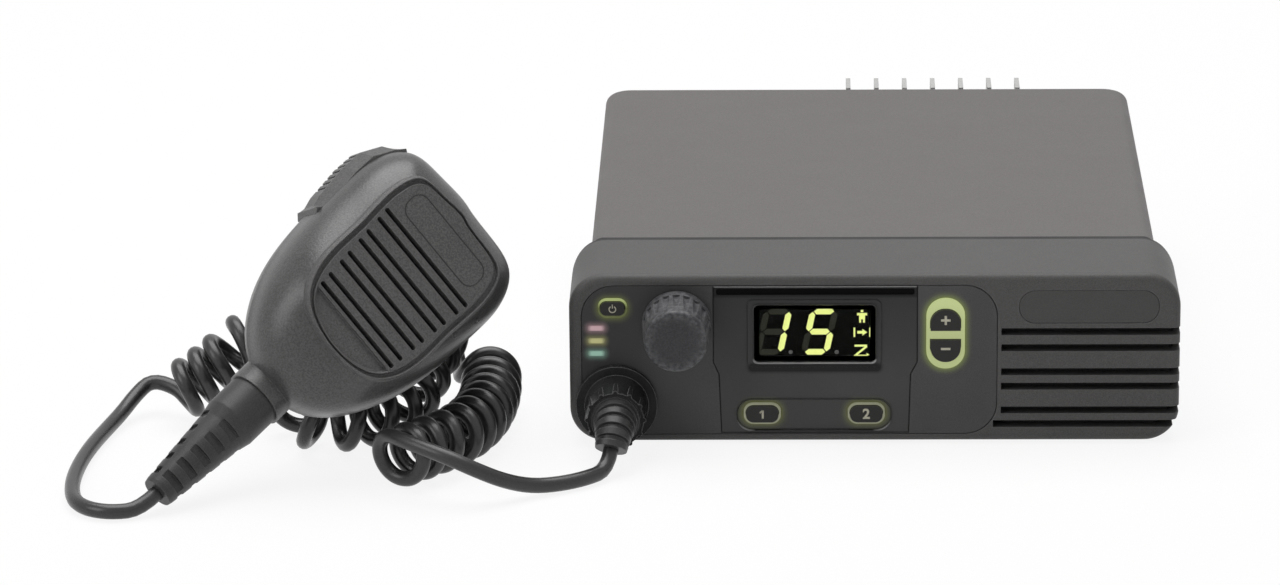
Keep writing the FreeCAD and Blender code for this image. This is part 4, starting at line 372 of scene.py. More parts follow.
def make_light_spill():
    """How near a point of the face is to a rounded, lit window, from 1 at its edge to 0."""
    tree, start, end = effect_group(
        "light_spill",
        [("Middle X", "NodeSocketFloat", 0.0), ("Middle Z", "NodeSocketFloat", 0.0),
         ("Half Width", "NodeSocketFloat", 4.0), ("Half Height", "NodeSocketFloat", 3.0),
         ("Corner", "NodeSocketFloat", 2.5), ("Reach", "NodeSocketFloat", 2.0)],
        [("Mask", "NodeSocketFloat")])
    given = start.outputs
    x, _, z = own_place(tree)
    past = []
    for axis, middle, half in ((x, "Middle X", "Half Width"), (z, "Middle Z", "Half Height")):
        off = arithmetic(tree, "SUBTRACT", axis, given[middle])
        straight = arithmetic(tree, "SUBTRACT", given[half], given["Corner"])
        out = arithmetic(tree, "SUBTRACT", arithmetic(tree, "ABSOLUTE", off), straight)
        out = arithmetic(tree, "MAXIMUM", out, 0.0)
        past.append(arithmetic(tree, "MULTIPLY", out, out))
    away = arithmetic(tree, "SQRT", arithmetic(tree, "ADD", *past))
    away = arithmetic(tree, "SUBTRACT", away, given["Corner"])
    near = spread(tree, away, 0.0, given["Reach"], 1.0, 0.0)
    feed(tree, end.inputs["Mask"], arithmetic(tree, "MULTIPLY", near, near))
    return tree


MOULDED = make_moulded_surface()
LIGHT_SPILL = make_light_spill()


def near_window(tree, x, z, wide, tall, corner, reach):
    """How near a point is to a window of the face, given by its middle and half sizes."""
    return add_effect(tree, LIGHT_SPILL, middle_x=x, middle_z=z, half_width=wide,
                      half_height=tall, corner=corner, reach=reach)["Mask"]


def glow_round_windows(tree, surface, glow_spots):
    """Emission round lit windows, brightest at their edges. On a panel it is a painted glow that
    stands in for the windows' light falling on it.
    """
    total = (0.0, 0.0, 0.0)
    for *window, colour in glow_spots:
        total = blend_colours(tree, near_window(tree, *window), total, colour)
    feed(tree, surface.inputs["Emission Color"], total)
    surface.inputs["Emission Strength"].default_value = 1.0


def shade_between(axis, low, high, tint):
    """Colour drawn towards a tint as one coordinate goes from low to high: a painted shade, or a
    painted highlight where the tint is light.
    """
    def dress(tree, colour):
        place = own_place(tree)[axis]
        return blend_colours(tree, spread(tree, place, low, high), colour, tint)
    return dress


def shade_patch(*window, tint):
    """Painted shade: colour drawn towards a tint on and near a rounded patch of the face."""
    def dress(tree, colour):
        return blend_colours(tree, near_window(tree, *window), colour, tint)
    return dress


def mottle_ring(x, z, inner, outer, tint):
    """Colour drawn towards a tint in a rubbed, cloudy ring about a point of the face."""
    def dress(tree, colour):
        place = own_place(tree)
        across = arithmetic(tree, "SUBTRACT", place[X], x)
        up = arithmetic(tree, "SUBTRACT", place[Z], z)
        away = arithmetic(tree, "SQRT", arithmetic(
            tree, "ADD", arithmetic(tree, "MULTIPLY", across, across),
            arithmetic(tree, "MULTIPLY", up, up)))
        ring = spread(tree, away, inner, outer)
        cloud = spread(tree, noise(tree, 1.3, 4.0), 0.38, 0.68)
        return blend_colours(tree, arithmetic(tree, "MULTIPLY", ring, cloud), colour, tint)
    return dress


def grey(level):
    """A colour without a hue."""
    return (level, level, level)


def finish(name, colour, edge_tone, roughness, grain_mm=0.3, depth_mm=0.01, speckle=0.15,
           uneven=0.1, edge=0.4, dress=(), glow_spots=(), **shader):
    """A solid finish: moulded plastic, cast or painted metal, rubber.

    The steps in dress change its colour, mostly with painted shade and painted highlight,
    glow_spots give it a painted glow round lit windows, and what is left are inputs of the
    Principled BSDF.
    """
    material, tree, surface = new_material(name)
    given = add_effect(tree, MOULDED, colour=colour, worn_colour=edge_tone, roughness=roughness,
                       roughness_spread=uneven, speckle=speckle, grain_size=grain_mm, edge=edge)
    bump = tree.nodes.new("ShaderNodeBump")
    bump.inputs["Strength"].default_value = 0.6
    bump.inputs["Distance"].default_value = depth_mm * MM
    feed(tree, bump.inputs["Height"], given["Grain"])
    feed(tree, bump.inputs["Normal"], given["Soft Normal"])
    seen = given["Color"]
    for step in dress:
        seen = step(tree, seen)
    feed(tree, surface.inputs["Base Color"], seen)
    feed(tree, surface.inputs["Roughness"], given["Roughness"])
    feed(tree, surface.inputs["Normal"], bump.outputs["Normal"])
    if glow_spots:
        glow_round_windows(tree, surface, glow_spots)
    for label, value in shader.items():
        surface.inputs[label.replace("_", " ")].default_value = value
    return material


def faded(colour, share):
    """A colour at a share of its strength."""
    return tuple(share * part for part in colour)


def lamp(name, bright, dim, axis=None, low=0.0, high=1.0):
    """A lit plastic window: dim and bright along one coordinate, or uneven all over."""
    material, tree, surface = new_material(name)
    feed(tree, surface.inputs["Base Color"], faded(bright, 0.3))
    surface.inputs["Roughness"].default_value = 0.35
    surface.inputs["Specular IOR Level"].default_value = 0.25
    share = noise(tree, LAMP_BLOB_MM, 1.0)
    if axis is not None:
        blobs = arithmetic(tree, "MULTIPLY", share, LAMP_BLOB_SHARE)
        place = spread(tree, own_place(tree)[axis], low, high)
        share = arithmetic(tree, "ADD", place, blobs)
    feed(tree, surface.inputs["Emission Color"], blend_colours(tree, share, dim, bright))
    surface.inputs["Emission Strength"].default_value = 1.0
    return material


def status_lamp(name):
    """Three status lights one below another, each brightest in its middle."""
    material, tree, surface = new_material(name)
    feed(tree, surface.inputs["Base Color"], grey(0.05))
    surface.inputs["Roughness"].default_value = 0.4
    glow_round_windows(tree, surface, [(STATUS_X, z, 1.5, 0.45, 0.45, 2.2, colour)
                                for z, colour in STATUS_LIGHTS])
    return material


def display_glass(name):
    """The display's clear cover, with the faintest haze of wear."""
    material, tree, surface = new_material(name)
    surface.inputs["Transmission Weight"].default_value = 1.0
    surface.inputs["IOR"].default_value = 1.03
    surface.inputs["Specular IOR Level"].default_value = 0.2
    haze = spread(tree, noise(tree, 6.0, 3.0), 0.3, 0.7, 0.0, 0.002)
    feed(tree, surface.inputs["Roughness"], haze)
    tint = blend_colours(tree, noise(tree, 9.0), (0.93, 0.94, 0.92), (0.97, 0.97, 0.96))
    feed(tree, surface.inputs["Base Color"], tint)
    return material


# Where the keys, lights and the display lie on the face, across and up.

POWER_X, STATUS_X = -74.95, -79.7
LEFT_KEY_X, RIGHT_KEY_X, ROUND_KEYS_Z = -32.2, -2.3, 9.1
CHANNEL_X = 20.35
DIGITS_Z = 33.5

# Lit windows of the face: middle, half width, half height, corner, reach and colour.

STATUS_LIGHTS = ((35.0, (0.41, 0.26, 0.28)), (31.2, (0.36, 0.35, 0.14)),
                 (27.4, (0.20, 0.36, 0.28)))
# Painted glow on the insert and the centre panel round their lit windows, standing in for the
# light that those windows cast on the plastic.
FACE_GLOW = [(POWER_X, 41.1, 4.2, 2.95, 2.7, 2.2, (0.055, 0.066, 0.014)),
              (CHANNEL_X, 33.35, 5.5, 10.6, 5.4, 2.4, (0.10, 0.13, 0.02))]
FACE_GLOW += [(STATUS_X, z, 2.3, 0.75, 0.7, 2.0, faded(colour, 0.36))
               for z, colour in STATUS_LIGHTS]
PANEL_GLOW = [(x, ROUND_KEYS_Z, 5.35, 3.1, 2.8, 2.6, (0.062, 0.068, 0.013))
               for x in (LEFT_KEY_X, RIGHT_KEY_X)]

# The finishes: colour, edge tone (partly wear and partly painted highlight), roughness, size and
# depth of the grain in millimetres.

# Painted shade in the seam between the cover and the head, on the cover's front edge and the
# head's back edge.
SEAM_SHADE = grey(0.008)
CAST_BODY = finish("cast_aluminium", (0.44, 0.44, 0.435), (0.6, 0.6, 0.59), 0.5, 0.8, 0.03,
                   speckle=0.35, Metallic=0.35)
COVER = finish("cover_paint", (0.112, 0.103, 0.102), (0.19, 0.18, 0.178), 0.55, 0.35, 0.018,
               speckle=0.3, edge=0.25, dress=[shade_between(Y, -65.9, -66.4, SEAM_SHADE)],
               Specular_IOR_Level=0.3)
HOUSING = finish("head_plastic", (0.058, 0.056, 0.055), (0.15, 0.147, 0.145), 0.5, 0.3, 0.014,
                 speckle=0.28, edge=0.5, dress=[shade_between(Y, -69.3, -68.9, SEAM_SHADE)],
                 Specular_IOR_Level=0.3)
# Painted shade on the insert: darker towards its left end, and a near-black edge tone for the
# shade in the gaps round it; a painted glow round its lit windows.
INSERT = finish("insert_plastic", (0.078, 0.076, 0.0765), grey(0.005), 0.47, 0.28, 0.012,
                speckle=0.25, edge=1.3, glow_spots=FACE_GLOW,
                dress=[shade_between(X, -44.0, -76.0, (0.036, 0.035, 0.0355))],
                Specular_IOR_Level=0.3)
# Painted shade on the centre panel: darker towards the top, near black above the groove under
# the head's edge, a painted shadow under the display window, and a near-black edge tone for the
# shade in the gaps round it; a painted glow round the two round keys.
PANEL = finish("panel_plastic", (0.066, 0.065, 0.065), grey(0.004), 0.4, 0.25, 0.006,
               speckle=0.12, edge=1.5, glow_spots=PANEL_GLOW,
               dress=[shade_between(Z, 18.0, 44.0, grey(0.028)),
                      shade_between(Z, 43.8, 44.5, grey(0.003)),
                      shade_patch(-17.1, 23.0, 18.8, 1.1, 1.0, 1.3, tint=grey(0.001))],
               Specular_IOR_Level=0.25)
# A near-black finish for a bar that stands in for the shadow in the groove under the head's
# edge: a painted shadow.
GROOVE_SHADOW = finish("groove_shadow_black", grey(0.002), grey(0.02), 0.3, 0.5, 0.002, speckle=0.05,
               uneven=0.04, edge=0.3, Specular_IOR_Level=0.03)
KEYCAP = finish("key_plastic", (0.016, 0.0155, 0.015), (0.06, 0.058, 0.055), 0.4, 0.25, 0.004,
                speckle=0.1, edge=0.5, Specular_IOR_Level=0.25)
PLATE = finish("plate_plastic", (0.05, 0.049, 0.048), (0.13, 0.127, 0.125), 0.4, 0.25, 0.006,
               speckle=0.15, edge=0.6, Specular_IOR_Level=0.3)
KNOB = finish("knob_rubber", (0.025, 0.025, 0.028), (0.15, 0.15, 0.155), 0.45, 0.5, 0.012,
              speckle=0.12, edge=0.9, Specular_IOR_Level=0.3,
              dress=[mottle_ring(-56.6, 36.3, 5.6, 8.6, (0.12, 0.12, 0.125))])
# The light edge tone on the glossy collar gives painted highlights on its rim and ribs.
COLLAR = finish("collar_gloss", (0.006, 0.006, 0.0065), grey(0.22), 0.25, 0.4, 0.004,
                speckle=0.04, edge=1.2, Specular_IOR_Level=0.1)
MIC_CASE = finish("mic_plastic", (0.027, 0.0262, 0.0262), (0.13, 0.127, 0.126), 0.31, 0.5,
                  0.035, speckle=0.42, edge=0.5, Specular_IOR_Level=0.6)
MIC_PANEL = finish("mic_panel_plastic", (0.062, 0.0605, 0.0605), (0.18, 0.176, 0.175), 0.45,
                   0.5, 0.03, speckle=0.42, edge=0.7, Specular_IOR_Level=0.35)
RUBBER = finish("boot_rubber", (0.02, 0.0195, 0.02), (0.1, 0.098, 0.098), 0.4, 0.4, 0.01,
                speckle=0.2, edge=0.7, Specular_IOR_Level=0.4)
SHEATH = finish("cord_sheath", (0.02, 0.0195, 0.02), (0.06, 0.058, 0.058), 0.3, 0.5, 0.006,
                speckle=0.2, edge=0.0, Specular_IOR_Level=0.5)
DARK = finish("dark_plastic", grey(0.014), grey(0.04), 0.45)
SILICONE = finish("silicone", grey(0.02), grey(0.05), 0.6)
NICKEL = finish("nickel_plate", (0.6, 0.59, 0.56), (0.8, 0.79, 0.76), 0.25, 0.4, 0.004,
                Metallic=1.0)
TIN = finish("tinned_steel", (0.5, 0.5, 0.49), (0.7, 0.7, 0.69), 0.38, 0.5, 0.006,
             Metallic=1.0)
STEEL = finish("plain_steel", grey(0.36), grey(0.55), 0.4, 0.5, 0.006, Metallic=1.0)
BLACK_STEEL = finish("blackened_steel", (0.05, 0.05, 0.052), grey(0.3), 0.35, 0.4, 0.004,
                     edge=0.7, Metallic=0.9)
BRASS = finish("bright_brass", (0.65, 0.46, 0.18), (0.85, 0.7, 0.4), 0.25, 0.4, 0.004,
               Metallic=1.0)
BOARD = finish("board_green", (0.02, 0.10, 0.045), (0.06, 0.2, 0.1), 0.35, 0.8, 0.006)
PTFE = finish("white_insulator", (0.72, 0.72, 0.7), (0.85, 0.85, 0.83), 0.4)
CLOTH = finish("speaker_cloth", grey(0.012), grey(0.04), 0.85, 0.5, 0.08, speckle=0.5,
               edge=0.0)
CONE = finish("cone_paper", grey(0.03), grey(0.06), 0.8, 0.6, 0.03)
DISPLAY = finish("display_black", (0.0015, 0.0016, 0.0014), grey(0.004), 0.4,
                 Specular_IOR_Level=0.05)
DOT = finish("display_dot", grey(0.10), grey(0.16), 0.5, edge=0.0)
MARK = finish("pale_mark", (0.52, 0.5, 0.39), (0.6, 0.58, 0.46), 0.5, edge=0.0)
# The window rim is painted lighter towards its lower edge, a painted highlight.
RIM = finish("window_rim", grey(0.022), grey(0.05), 0.3, edge=0.6,
             dress=[shade_between(Z, 26.0, 24.9, grey(0.3))], Specular_IOR_Level=0.3)
# The trough rim is painted lighter towards its lower edge, a painted highlight, and darker again
# in the middle of the bottom, a painted shade.
TROUGH_RIM = finish("trough_rim", grey(0.026), grey(0.06), 0.3, edge=0.6,
                    dress=[shade_between(Z, 7.2, 4.2, grey(0.28)),
                           shade_patch(-17.3, 3.9, 16.8, 1.2, 1.0, 3.2, tint=grey(0.012))],
                    Specular_IOR_Level=0.3)
# A pale finish for a painted highlight along the centre panel's upper edge.
HIGHLIGHT_RIM = finish("painted_highlight_rim", grey(0.1), grey(0.34), 0.3, edge=0.6,
                    Specular_IOR_Level=0.5)
KEY_LIGHT = lamp("key_light", (0.215, 0.22, 0.155), (0.15, 0.155, 0.105))
POWER_LIGHT = lamp("power_light", (0.30, 0.35, 0.14), (0.035, 0.04, 0.012), Z, 41.2, 43.6)
CHANNEL_LIGHT = lamp("channel_light", (0.40, 0.46, 0.21), (0.34, 0.385, 0.18), Z, 33.0, 43.0)
DIGIT = lamp("lit_segment", (0.74, 0.80, 0.27), (0.64, 0.71, 0.20))
GHOST = lamp("dark_segment", (0.013, 0.0135, 0.007), (0.007, 0.0075, 0.004))
STATUS = status_lamp("status_light")
GLASS = display_glass("display_glass")

# Which solids have which finish.

DRESSED = (
    (CAST_BODY, "chassis"),
    (COVER, "top_cover"),
    (HOUSING, "head_housing", "head_back"),
    (INSERT, "fascia_panel"),
    (PANEL, "centre_panel"),
    (PLATE, "name_plate"),
    (GLASS, "display_window"),
    (DISPLAY, "display_module"),
    (KNOB, "volume_knob"),
    (KEYCAP, "power_key", "left_key", "right_key", "channel_up_key", "channel_down_key"),
    (STATUS, "status_lights"),
    (POWER_LIGHT, "power_light_ring"),
    (KEY_LIGHT, "left_light_ring", "right_light_ring"),
    (CHANNEL_LIGHT, "channel_light_ring"),
    (COLLAR, "mic_socket", "plug_collar"),
    (RUBBER, "plug_boot", "mic_boot"),
    (MIC_CASE, "mic_front_shell", "mic_back_shell"),
    (MIC_PANEL, "mic_grille", "talk_key"),
    (CLOTH, "mic_cloth", "speaker_cloth"),
    (CONE, "speaker_cone"),
    (DARK, "accessory_socket", "power_socket", "plug_body", "talk_switch"),
    (SILICONE, "front_seal", "keypad_mat", "cartridge_holder"),
    (BOARD, "main_board", "control_board", "mic_board"),
    (NICKEL, "antenna_socket", "encoder_shaft", "hang_button"),
    (TIN, "rf_shield", "volume_encoder"),
    (STEEL, "board_screws", "speaker_frame", "speaker_magnet", "mic_cartridge"),
    (BLACK_STEEL, "cover_screws", "head_screws", "mic_screws"),
    (BRASS, "antenna_contact", "accessory_pins", "power_pins"),
    (PTFE, "antenna_insulator"),
)
for material, *node_names in DRESSED:
    for node_name in node_names:
        NODES[node_name].data.materials.clear()
        NODES[node_name].data.materials.append(material)
CORD.data.materials.append(SHEATH)

# Small pieces of the face: the display's segments and signs, the keys' marks, thin rims, and two
# bars along the centre panel's top for a painted highlight and a painted shadow.

# How deep the display's signs are, and how far forward the display and the keys stand.
SIGN_DEPTH = 0.04
DISPLAY_FRONT, KEY_FRONT = -101.93, -104.0
# Turns what is drawn lying flat so that it stands up and looks forward.
FORWARD = Matrix.Rotation(math.radians(90), 4, "X")


def new_piece(name, work, material, body):
    """Close a shape off as a piece that rides on a body."""
    bmesh.ops.remove_doubles(work, verts=work.verts, dist=1e-7)
    bmesh.ops.recalc_face_normals(work, faces=work.faces)
    mesh = bpy.data.meshes.new(name)
    work.to_mesh(mesh)
    work.free()
    mesh.materials.append(material)
    piece = bpy.data.objects.new(name, mesh)
    scene.collection.objects.link(piece)
    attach(piece, body)


def new_corners(made):
    """The corners that an extrusion added."""
    return [item for item in made["geom"] if isinstance(item, bmesh.types.BMVert)]


def thicken(work, faces, depth):
    """Flat faces made this deep, away from the front."""
    made = bmesh.ops.extrude_face_region(work, geom=faces)
    bmesh.ops.translate(work, vec=(0, depth * MM, 0), verts=new_corners(made))


def add_block(work, middle, spans, cut=0.0, turn=0.0):
    """A block whose corners seen from the front are cut off, then turned, in degrees."""
    place = (Matrix.Translation(Vector(middle) * MM)
             @ Matrix.Rotation(math.radians(turn), 4, "Y")
             @ Matrix.Diagonal((*[span * MM for span in spans], 1.0)))
    corners = bmesh.ops.create_cube(work, size=1.0, matrix=place)["verts"]
    if cut:
        edges = dict.fromkeys(edge for corner in corners for edge in corner.link_edges)
        deep = [edge for edge in edges
                if abs(edge.verts[0].co.y - edge.verts[1].co.y) > 0.5 * spans[1] * MM]
        bmesh.ops.bevel(work, geom=deep, offset=cut * MM, offset_type="OFFSET", segments=1,
                        profile=0.5, affect="EDGES", material=-1)


def add_sign(work, x, z, wide, tall, cut=0.0, turn=0.0):
    """A thin block of the display."""
    add_block(work, (x, DISPLAY_FRONT, z), (wide, SIGN_DEPTH, tall), cut, turn)


def add_arrow(work, x, z, reach, half):
    """A thin arrow head of the display that points right."""
    y = DISPLAY_FRONT - SIGN_DEPTH / 2
    corners = [work.verts.new(Vector(point) * MM)
               for point in ((x, y, z), (x - reach, y, z + half), (x - reach, y, z - half))]
    thicken(work, [work.faces.new(corners)], SIGN_DEPTH)


# Which of a digit's bars is where: middle across and up, and whether it stands upright.
BARS = {"top": (0.0, 6.1, False), "middle": (0.0, 0.0, False), "bottom": (0.0, -6.1, False),
        "upper_left": (-3.2, 3.05, True), "upper_right": (3.2, 3.05, True),
        "lower_left": (-3.2, -3.05, True), "lower_right": (3.2, -3.05, True)}
# The digits: middle across, and the bars that are lit.
DIGITS = ((-28.9, {"upper_right", "lower_right"}),
          (-15.7, {"top", "upper_left", "middle", "lower_right", "bottom"}))
BAR_LENGTH, BAR_WIDTH, BAR_CUT, LEAN = 5.75, 1.75, 0.84, 0.21


def make_segments(name, material, lit):
    """The lit or the unlit bars of both digits, leaning to the right."""
    work = bmesh.new()
    for x, shown in DIGITS:
        for bar, (across, up, upright) in BARS.items():
            if (bar in shown) == lit:
                spans = (BAR_WIDTH, BAR_LENGTH) if upright else (BAR_LENGTH, BAR_WIDTH)
                add_sign(work, x + across, DIGITS_Z + up, *spans, BAR_CUT)
    for vertex in work.verts:
        vertex.co.x += LEAN * (vertex.co.z - DIGITS_Z * MM)
    new_piece(name, work, material, "radio")


# The plain signs after the digits, a mast, two bars round an arrow, and a zigzag: each block's
# middle across and up, its width and height, and a cut and turn if it has them. The arrows'
# tips, reach and half height.
SIGN_BLOCKS = ((-3.55, 38.75, 2.9, 0.75), (-3.55, 37.9, 1.7, 1.4), (-4.1, 36.9, 0.55, 1.4),
               (-3.0, 36.9, 0.55, 1.4), (-3.55, 39.7, 0.8, 0.7, 0.2),
               (-5.75, 33.3, 0.5, 2.8), (-1.25, 33.3, 0.5, 2.8), (-4.1, 33.3, 1.6, 0.8),
               (-3.9, 29.25, 3.6, 0.6), (-3.75, 27.75, 4.1, 0.6, 0.0, -40),
               (-3.9, 26.2, 3.9, 0.6))
SIGN_ARROWS = ((-2.05, 33.3, 1.4, 1.0), (-0.95, 26.2, 1.3, 0.85))


def make_signs():
    """The three plain signs after the digits."""
    work = bmesh.new()
    for row in SIGN_BLOCKS:
        add_sign(work, *row)
    for row in SIGN_ARROWS:
        add_arrow(work, *row)
    new_piece("display_signs", work, DIGIT, "radio")


def make_dots():
    """The two grey points after the digits."""
    work = bmesh.new()
    for x, z in ((-24.0, 27.35), (-10.8, 27.3)):
        place = Matrix.Translation(Vector((x, DISPLAY_FRONT, z)) * MM)
        bmesh.ops.create_cone(work, cap_ends=True, segments=20, radius1=0.62 * MM,
                              radius2=0.55 * MM, depth=SIGN_DEPTH * MM,
                              matrix=place @ FORWARD)
    new_piece("display_dots", work, DOT, "radio")


# A character's font size to the height that is given for it, and how much its strokes are
# widened and raised.
FONT_SCALE, STROKE_MM, RAISED_MM = 1.55, 0.13, 0.02


def make_mark(name, text, x, z, tall, body):
    """A raised, printed character on a key."""
    data = bpy.data.curves.new(name, "FONT")
    data.body = text
    data.size = tall * FONT_SCALE * MM
    data.align_x = "CENTER"
    data.align_y = "CENTER"
    data.extrude = RAISED_MM * MM
    data.offset = STROKE_MM * MM
    letter = bpy.data.objects.new(name + "_outline", data)
    scene.collection.objects.link(letter)
    bpy.context.view_layer.update()
    mesh = bpy.data.meshes.new_from_object(letter)
    bpy.data.objects.remove(letter)
    bpy.data.curves.remove(data)
    mesh.transform(Matrix.Translation(Vector((x, KEY_FRONT - RAISED_MM, z)) * MM) @ FORWARD)
    work = bmesh.new()
    work.from_mesh(mesh)
    bpy.data.meshes.remove(mesh)
    new_piece(name, work, MARK, body)


def make_one():
    """The printed figure on the left key: a stem with a slanted flag."""
    work = bmesh.new()
    add_block(work, (-32.05, KEY_FRONT - 0.01, ROUND_KEYS_Z), (0.62, 0.06, 2.5))
    add_block(work, (-32.5, KEY_FRONT - 0.02, 9.93), (0.42, 0.04, 1.15), 0.0, 45)
    new_piece("mark_one", work, MARK, "left_button")


# The open ring of the on and off sign: middle up, inner radius, outer to inner radius, and half
# the width of its gap.
SIGN_Z, SIGN_RADIUS_MM, SIGN_GROWTH, SIGN_GAP_MM = 41.0, 0.78, 1.42, 0.46


def make_power_sign():
    """The open ring and bar of an on and off key."""
    work = bmesh.new()
    middle = Vector((POWER_X, KEY_FRONT - 0.03, SIGN_Z)) * MM
    inner = bmesh.ops.create_circle(work, segments=36, radius=SIGN_RADIUS_MM * MM,
                                    matrix=Matrix.Translation(middle) @ FORWARD)["verts"]
    ring = dict.fromkeys(edge for corner in inner for edge in corner.link_edges)
    outer = new_corners(bmesh.ops.extrude_edge_only(work, edges=list(ring)))
    bmesh.ops.scale(work, vec=(SIGN_GROWTH, 1.0, SIGN_GROWTH),
                    space=Matrix.Translation(-middle), verts=outer)
    gap = [face for face in work.faces
           if abs(face.calc_center_median().x - middle.x) < SIGN_GAP_MM * MM
           and face.calc_center_median().z > middle.z]
    bmesh.ops.delete(work, geom=gap, context="FACES")
    thicken(work, list(work.faces), 0.05)
    add_block(work, (POWER_X, KEY_FRONT - 0.005, SIGN_Z + 0.85), (0.34, 0.05, 1.15))
    new_piece("power_sign", work, MARK, "power_button")


def make_lip(name, middle, spans, corner, width, rises, material, place=None):
    """A thin rounded frame that slopes in; its outer and inner edges rise to the front."""
    work = bmesh.new()
    middle = Vector(middle) * MM
    half_x, half_z = (0.5 * span * MM for span in spans)
    upright = Matrix.Translation(middle) @ FORWARD
    sheet = bmesh.ops.create_grid(work, x_segments=1, y_segments=1, size=1.0,
                                  matrix=upright @ Matrix.Diagonal((half_x, half_z, 1, 1)))
    bmesh.ops.bevel(work, geom=sheet["verts"], offset=corner * MM, offset_type="OFFSET",
                    segments=8, profile=0.5, affect="VERTICES", material=-1)
    whole = list(work.faces)
    inner = new_corners(bmesh.ops.extrude_edge_only(work, edges=list(work.edges)))
    shrink = (1 - width * MM / half_x, 1.0, 1 - width * MM / half_z)
    bmesh.ops.scale(work, vec=shrink, space=Matrix.Translation(-middle), verts=inner)
    bmesh.ops.delete(work, geom=whole, context="FACES_ONLY")
    inner_places = [vertex.co.copy() for vertex in inner]
    for raised in new_corners(bmesh.ops.extrude_face_region(work, geom=list(work.faces))):
        is_inner = min((raised.co - known).length for known in inner_places) < 1e-7
        raised.co.y -= rises[is_inner] * MM
    if place is not None:
        bmesh.ops.transform(work, matrix=place, verts=work.verts)
    new_piece(name, work, material, "radio")


def make_bar(name, middle, spans, cut, material):
    """A thin bar on the centre panel."""
    work = bmesh.new()
    add_block(work, middle, spans, cut)
    new_piece(name, work, material, "radio")


# The microphone's own frame, across it, into it and along it, stands at its boot's large end.
MIC_ACROSS = Vector((0.6119, -0.0261, -0.7905))
MIC_OUT = Vector((0.4704, -0.7915, 0.3902))
MIC_ALONG = Vector((0.6358, 0.6106, 0.4721))
MIC_BOOT_MM = 42.3
MIC_PLACE = axes_at(BOOT_TIP + MIC_ALONG * MIC_BOOT_MM * MM, MIC_ACROSS, -MIC_OUT, MIC_ALONG)

make_segments("lit_segments", DIGIT, True)
make_segments("unlit_segments", GHOST, False)
make_signs()
make_dots()
make_one()
make_mark("mark_two", "2", RIGHT_KEY_X, ROUND_KEYS_Z, 2.7, "right_button")
make_mark("mark_up", "+", CHANNEL_X, 37.2, 3.4, "up_button")
make_mark("mark_down", "\u2212", CHANNEL_X, 28.6, 3.4, "down_button")
make_power_sign()
make_lip("window_lip", (-17.1, -103.3, 33.3), (35.6, 18.0), 1.5, 0.42, (0.4, 0.05), RIM)
make_lip("trough_lip", (-17.3, -102.8, 8.7), (44.8, 9.8), 4.4, 0.4, (0.3, 0.02),
         TROUGH_RIM)
# The outline of the bare name place on the microphone's panel: a dark raised line that stands in
# for the shade in an engraved groove, a painted shade.
make_lip("plate_outline", (0.0, -25.98, 63.2), (31.0, 8.8), 3.6, 0.32, (0.09, 0.09), DARK,
         MIC_PLACE)
# A pale bar along the centre panel's upper edge, where it turns in under the head, is a painted
# highlight; a near-black bar in the groove along its top is a painted shadow under the head's
# edge.
make_bar("panel_edge_highlight", (-16.95, -103.05, 47.38), (58.0, 0.4, 0.28), 0.08, HIGHLIGHT_RIM)
make_bar("panel_groove_shadow", (-16.95, -102.4, 45.75), (57.2, 0.3, 1.9), 0.3, GROOVE_SHADOW)

# The room: floor, even light and two soft lamps.

FLOOR_REACH, FLOOR_DROP = 3.0, 0.0003
FLOOR_GLOW = 0.88
WORLD_LIGHT, WORLD_SEEN = 0.2, 0.8
# The soft lamps: place, what they point at, width and power in watts.
SOFTBOXES = {"top_box": ((-0.1, 0.25, 1.5), (-0.05, -0.02, 0.0), 1.4, 23.5),
             "left_box": ((-1.3, -0.9, 0.9), (-0.15, -0.1, 0.05), 0.9, 6.5)}


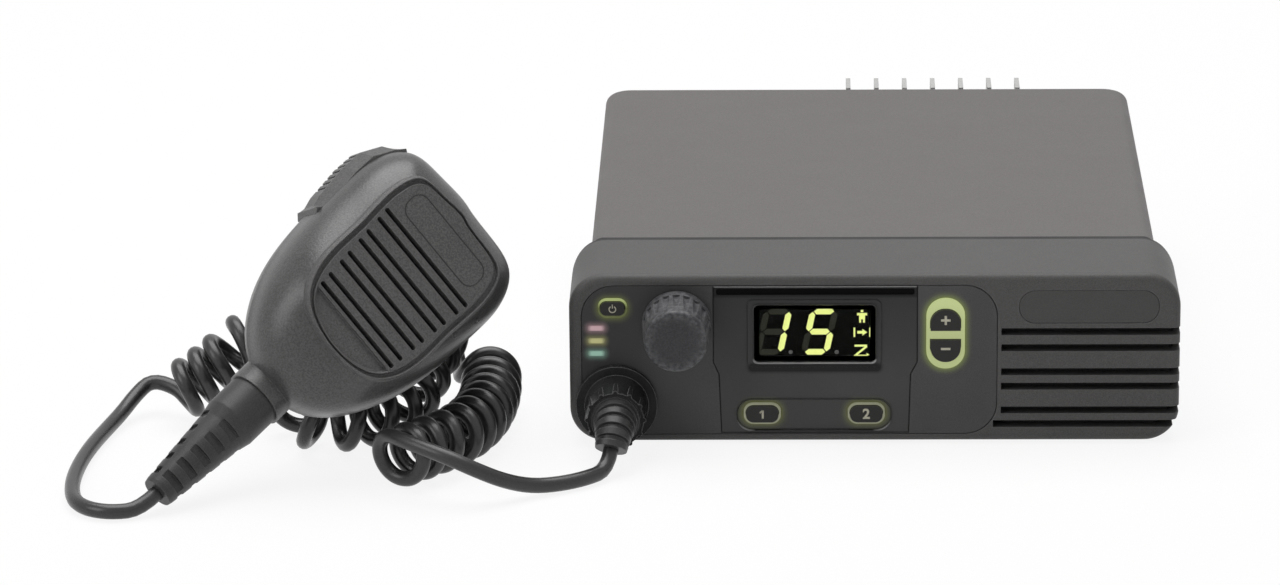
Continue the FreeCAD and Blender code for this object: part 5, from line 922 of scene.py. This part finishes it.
def looked_at(tree):
    """1 where the camera looks, straight, in a mirror or through glass, and else 0."""
    ray = tree.nodes.new("ShaderNodeLightPath").outputs
    return arithmetic(tree, "MAXIMUM", ray["Is Camera Ray"],
                      arithmetic(tree, "MAXIMUM", ray["Is Glossy Ray"],
                                 ray["Is Transmission Ray"]))


def mix_shaders(tree, share, first, second, end):
    """Give an output node a mix of two shaders."""
    mix = tree.nodes.new("ShaderNodeMixShader")
    for index, item in enumerate((share, first.outputs[0], second.outputs[0])):
        feed(tree, mix.inputs[index], item)
    feed(tree, end.inputs[0], mix.outputs[0])


def make_floor():
    """A plain white floor that the camera sees a little brighter than it is."""
    mesh = bpy.data.meshes.new("floor")
    work = bmesh.new()
    bmesh.ops.create_grid(work, x_segments=1, y_segments=1, size=FLOOR_REACH,
                          matrix=Matrix.Translation((0, 0, -FLOOR_DROP)))
    work.to_mesh(mesh)
    work.free()
    floor = bpy.data.objects.new("floor", mesh)
    scene.collection.objects.link(floor)
    material, tree, surface = new_material("white_floor")
    feed(tree, surface.inputs["Base Color"], grey(0.9))
    surface.inputs["Roughness"].default_value = 0.9
    mix_shaders(tree, arithmetic(tree, "MULTIPLY", looked_at(tree), FLOOR_GLOW), surface,
                tree.nodes.new("ShaderNodeEmission"), tree.nodes["Material Output"])
    mesh.materials.append(material)


def make_world():
    """Soft even light from all round, seen as white."""
    world = bpy.data.worlds.new("studio")
    world.use_nodes = True
    tree = world.node_tree
    soft = tree.nodes["Background"]
    feed(tree, soft.inputs["Color"], grey(1.0))
    feed(tree, soft.inputs["Strength"], WORLD_LIGHT)
    seen = tree.nodes.new("ShaderNodeBackground")
    feed(tree, seen.inputs["Color"], grey(WORLD_SEEN))
    mix_shaders(tree, looked_at(tree), soft, seen, tree.nodes["World Output"])
    scene.world = world


def make_softbox(name, place, aim, size, power):
    """A square soft lamp that points at a place."""
    data = bpy.data.lights.new(name, "AREA")
    data.shape = "SQUARE"
    data.size = size
    data.energy = power
    box = bpy.data.objects.new(name, data)
    box.location = place
    box.rotation_euler = (Vector(aim) - Vector(place)).to_track_quat("-Z", "Y").to_euler()
    scene.collection.objects.link(box)


make_floor()
make_world()
for box_name, settings in SOFTBOXES.items():
    make_softbox(box_name, *settings)
scene.view_settings.view_transform = "Standard"
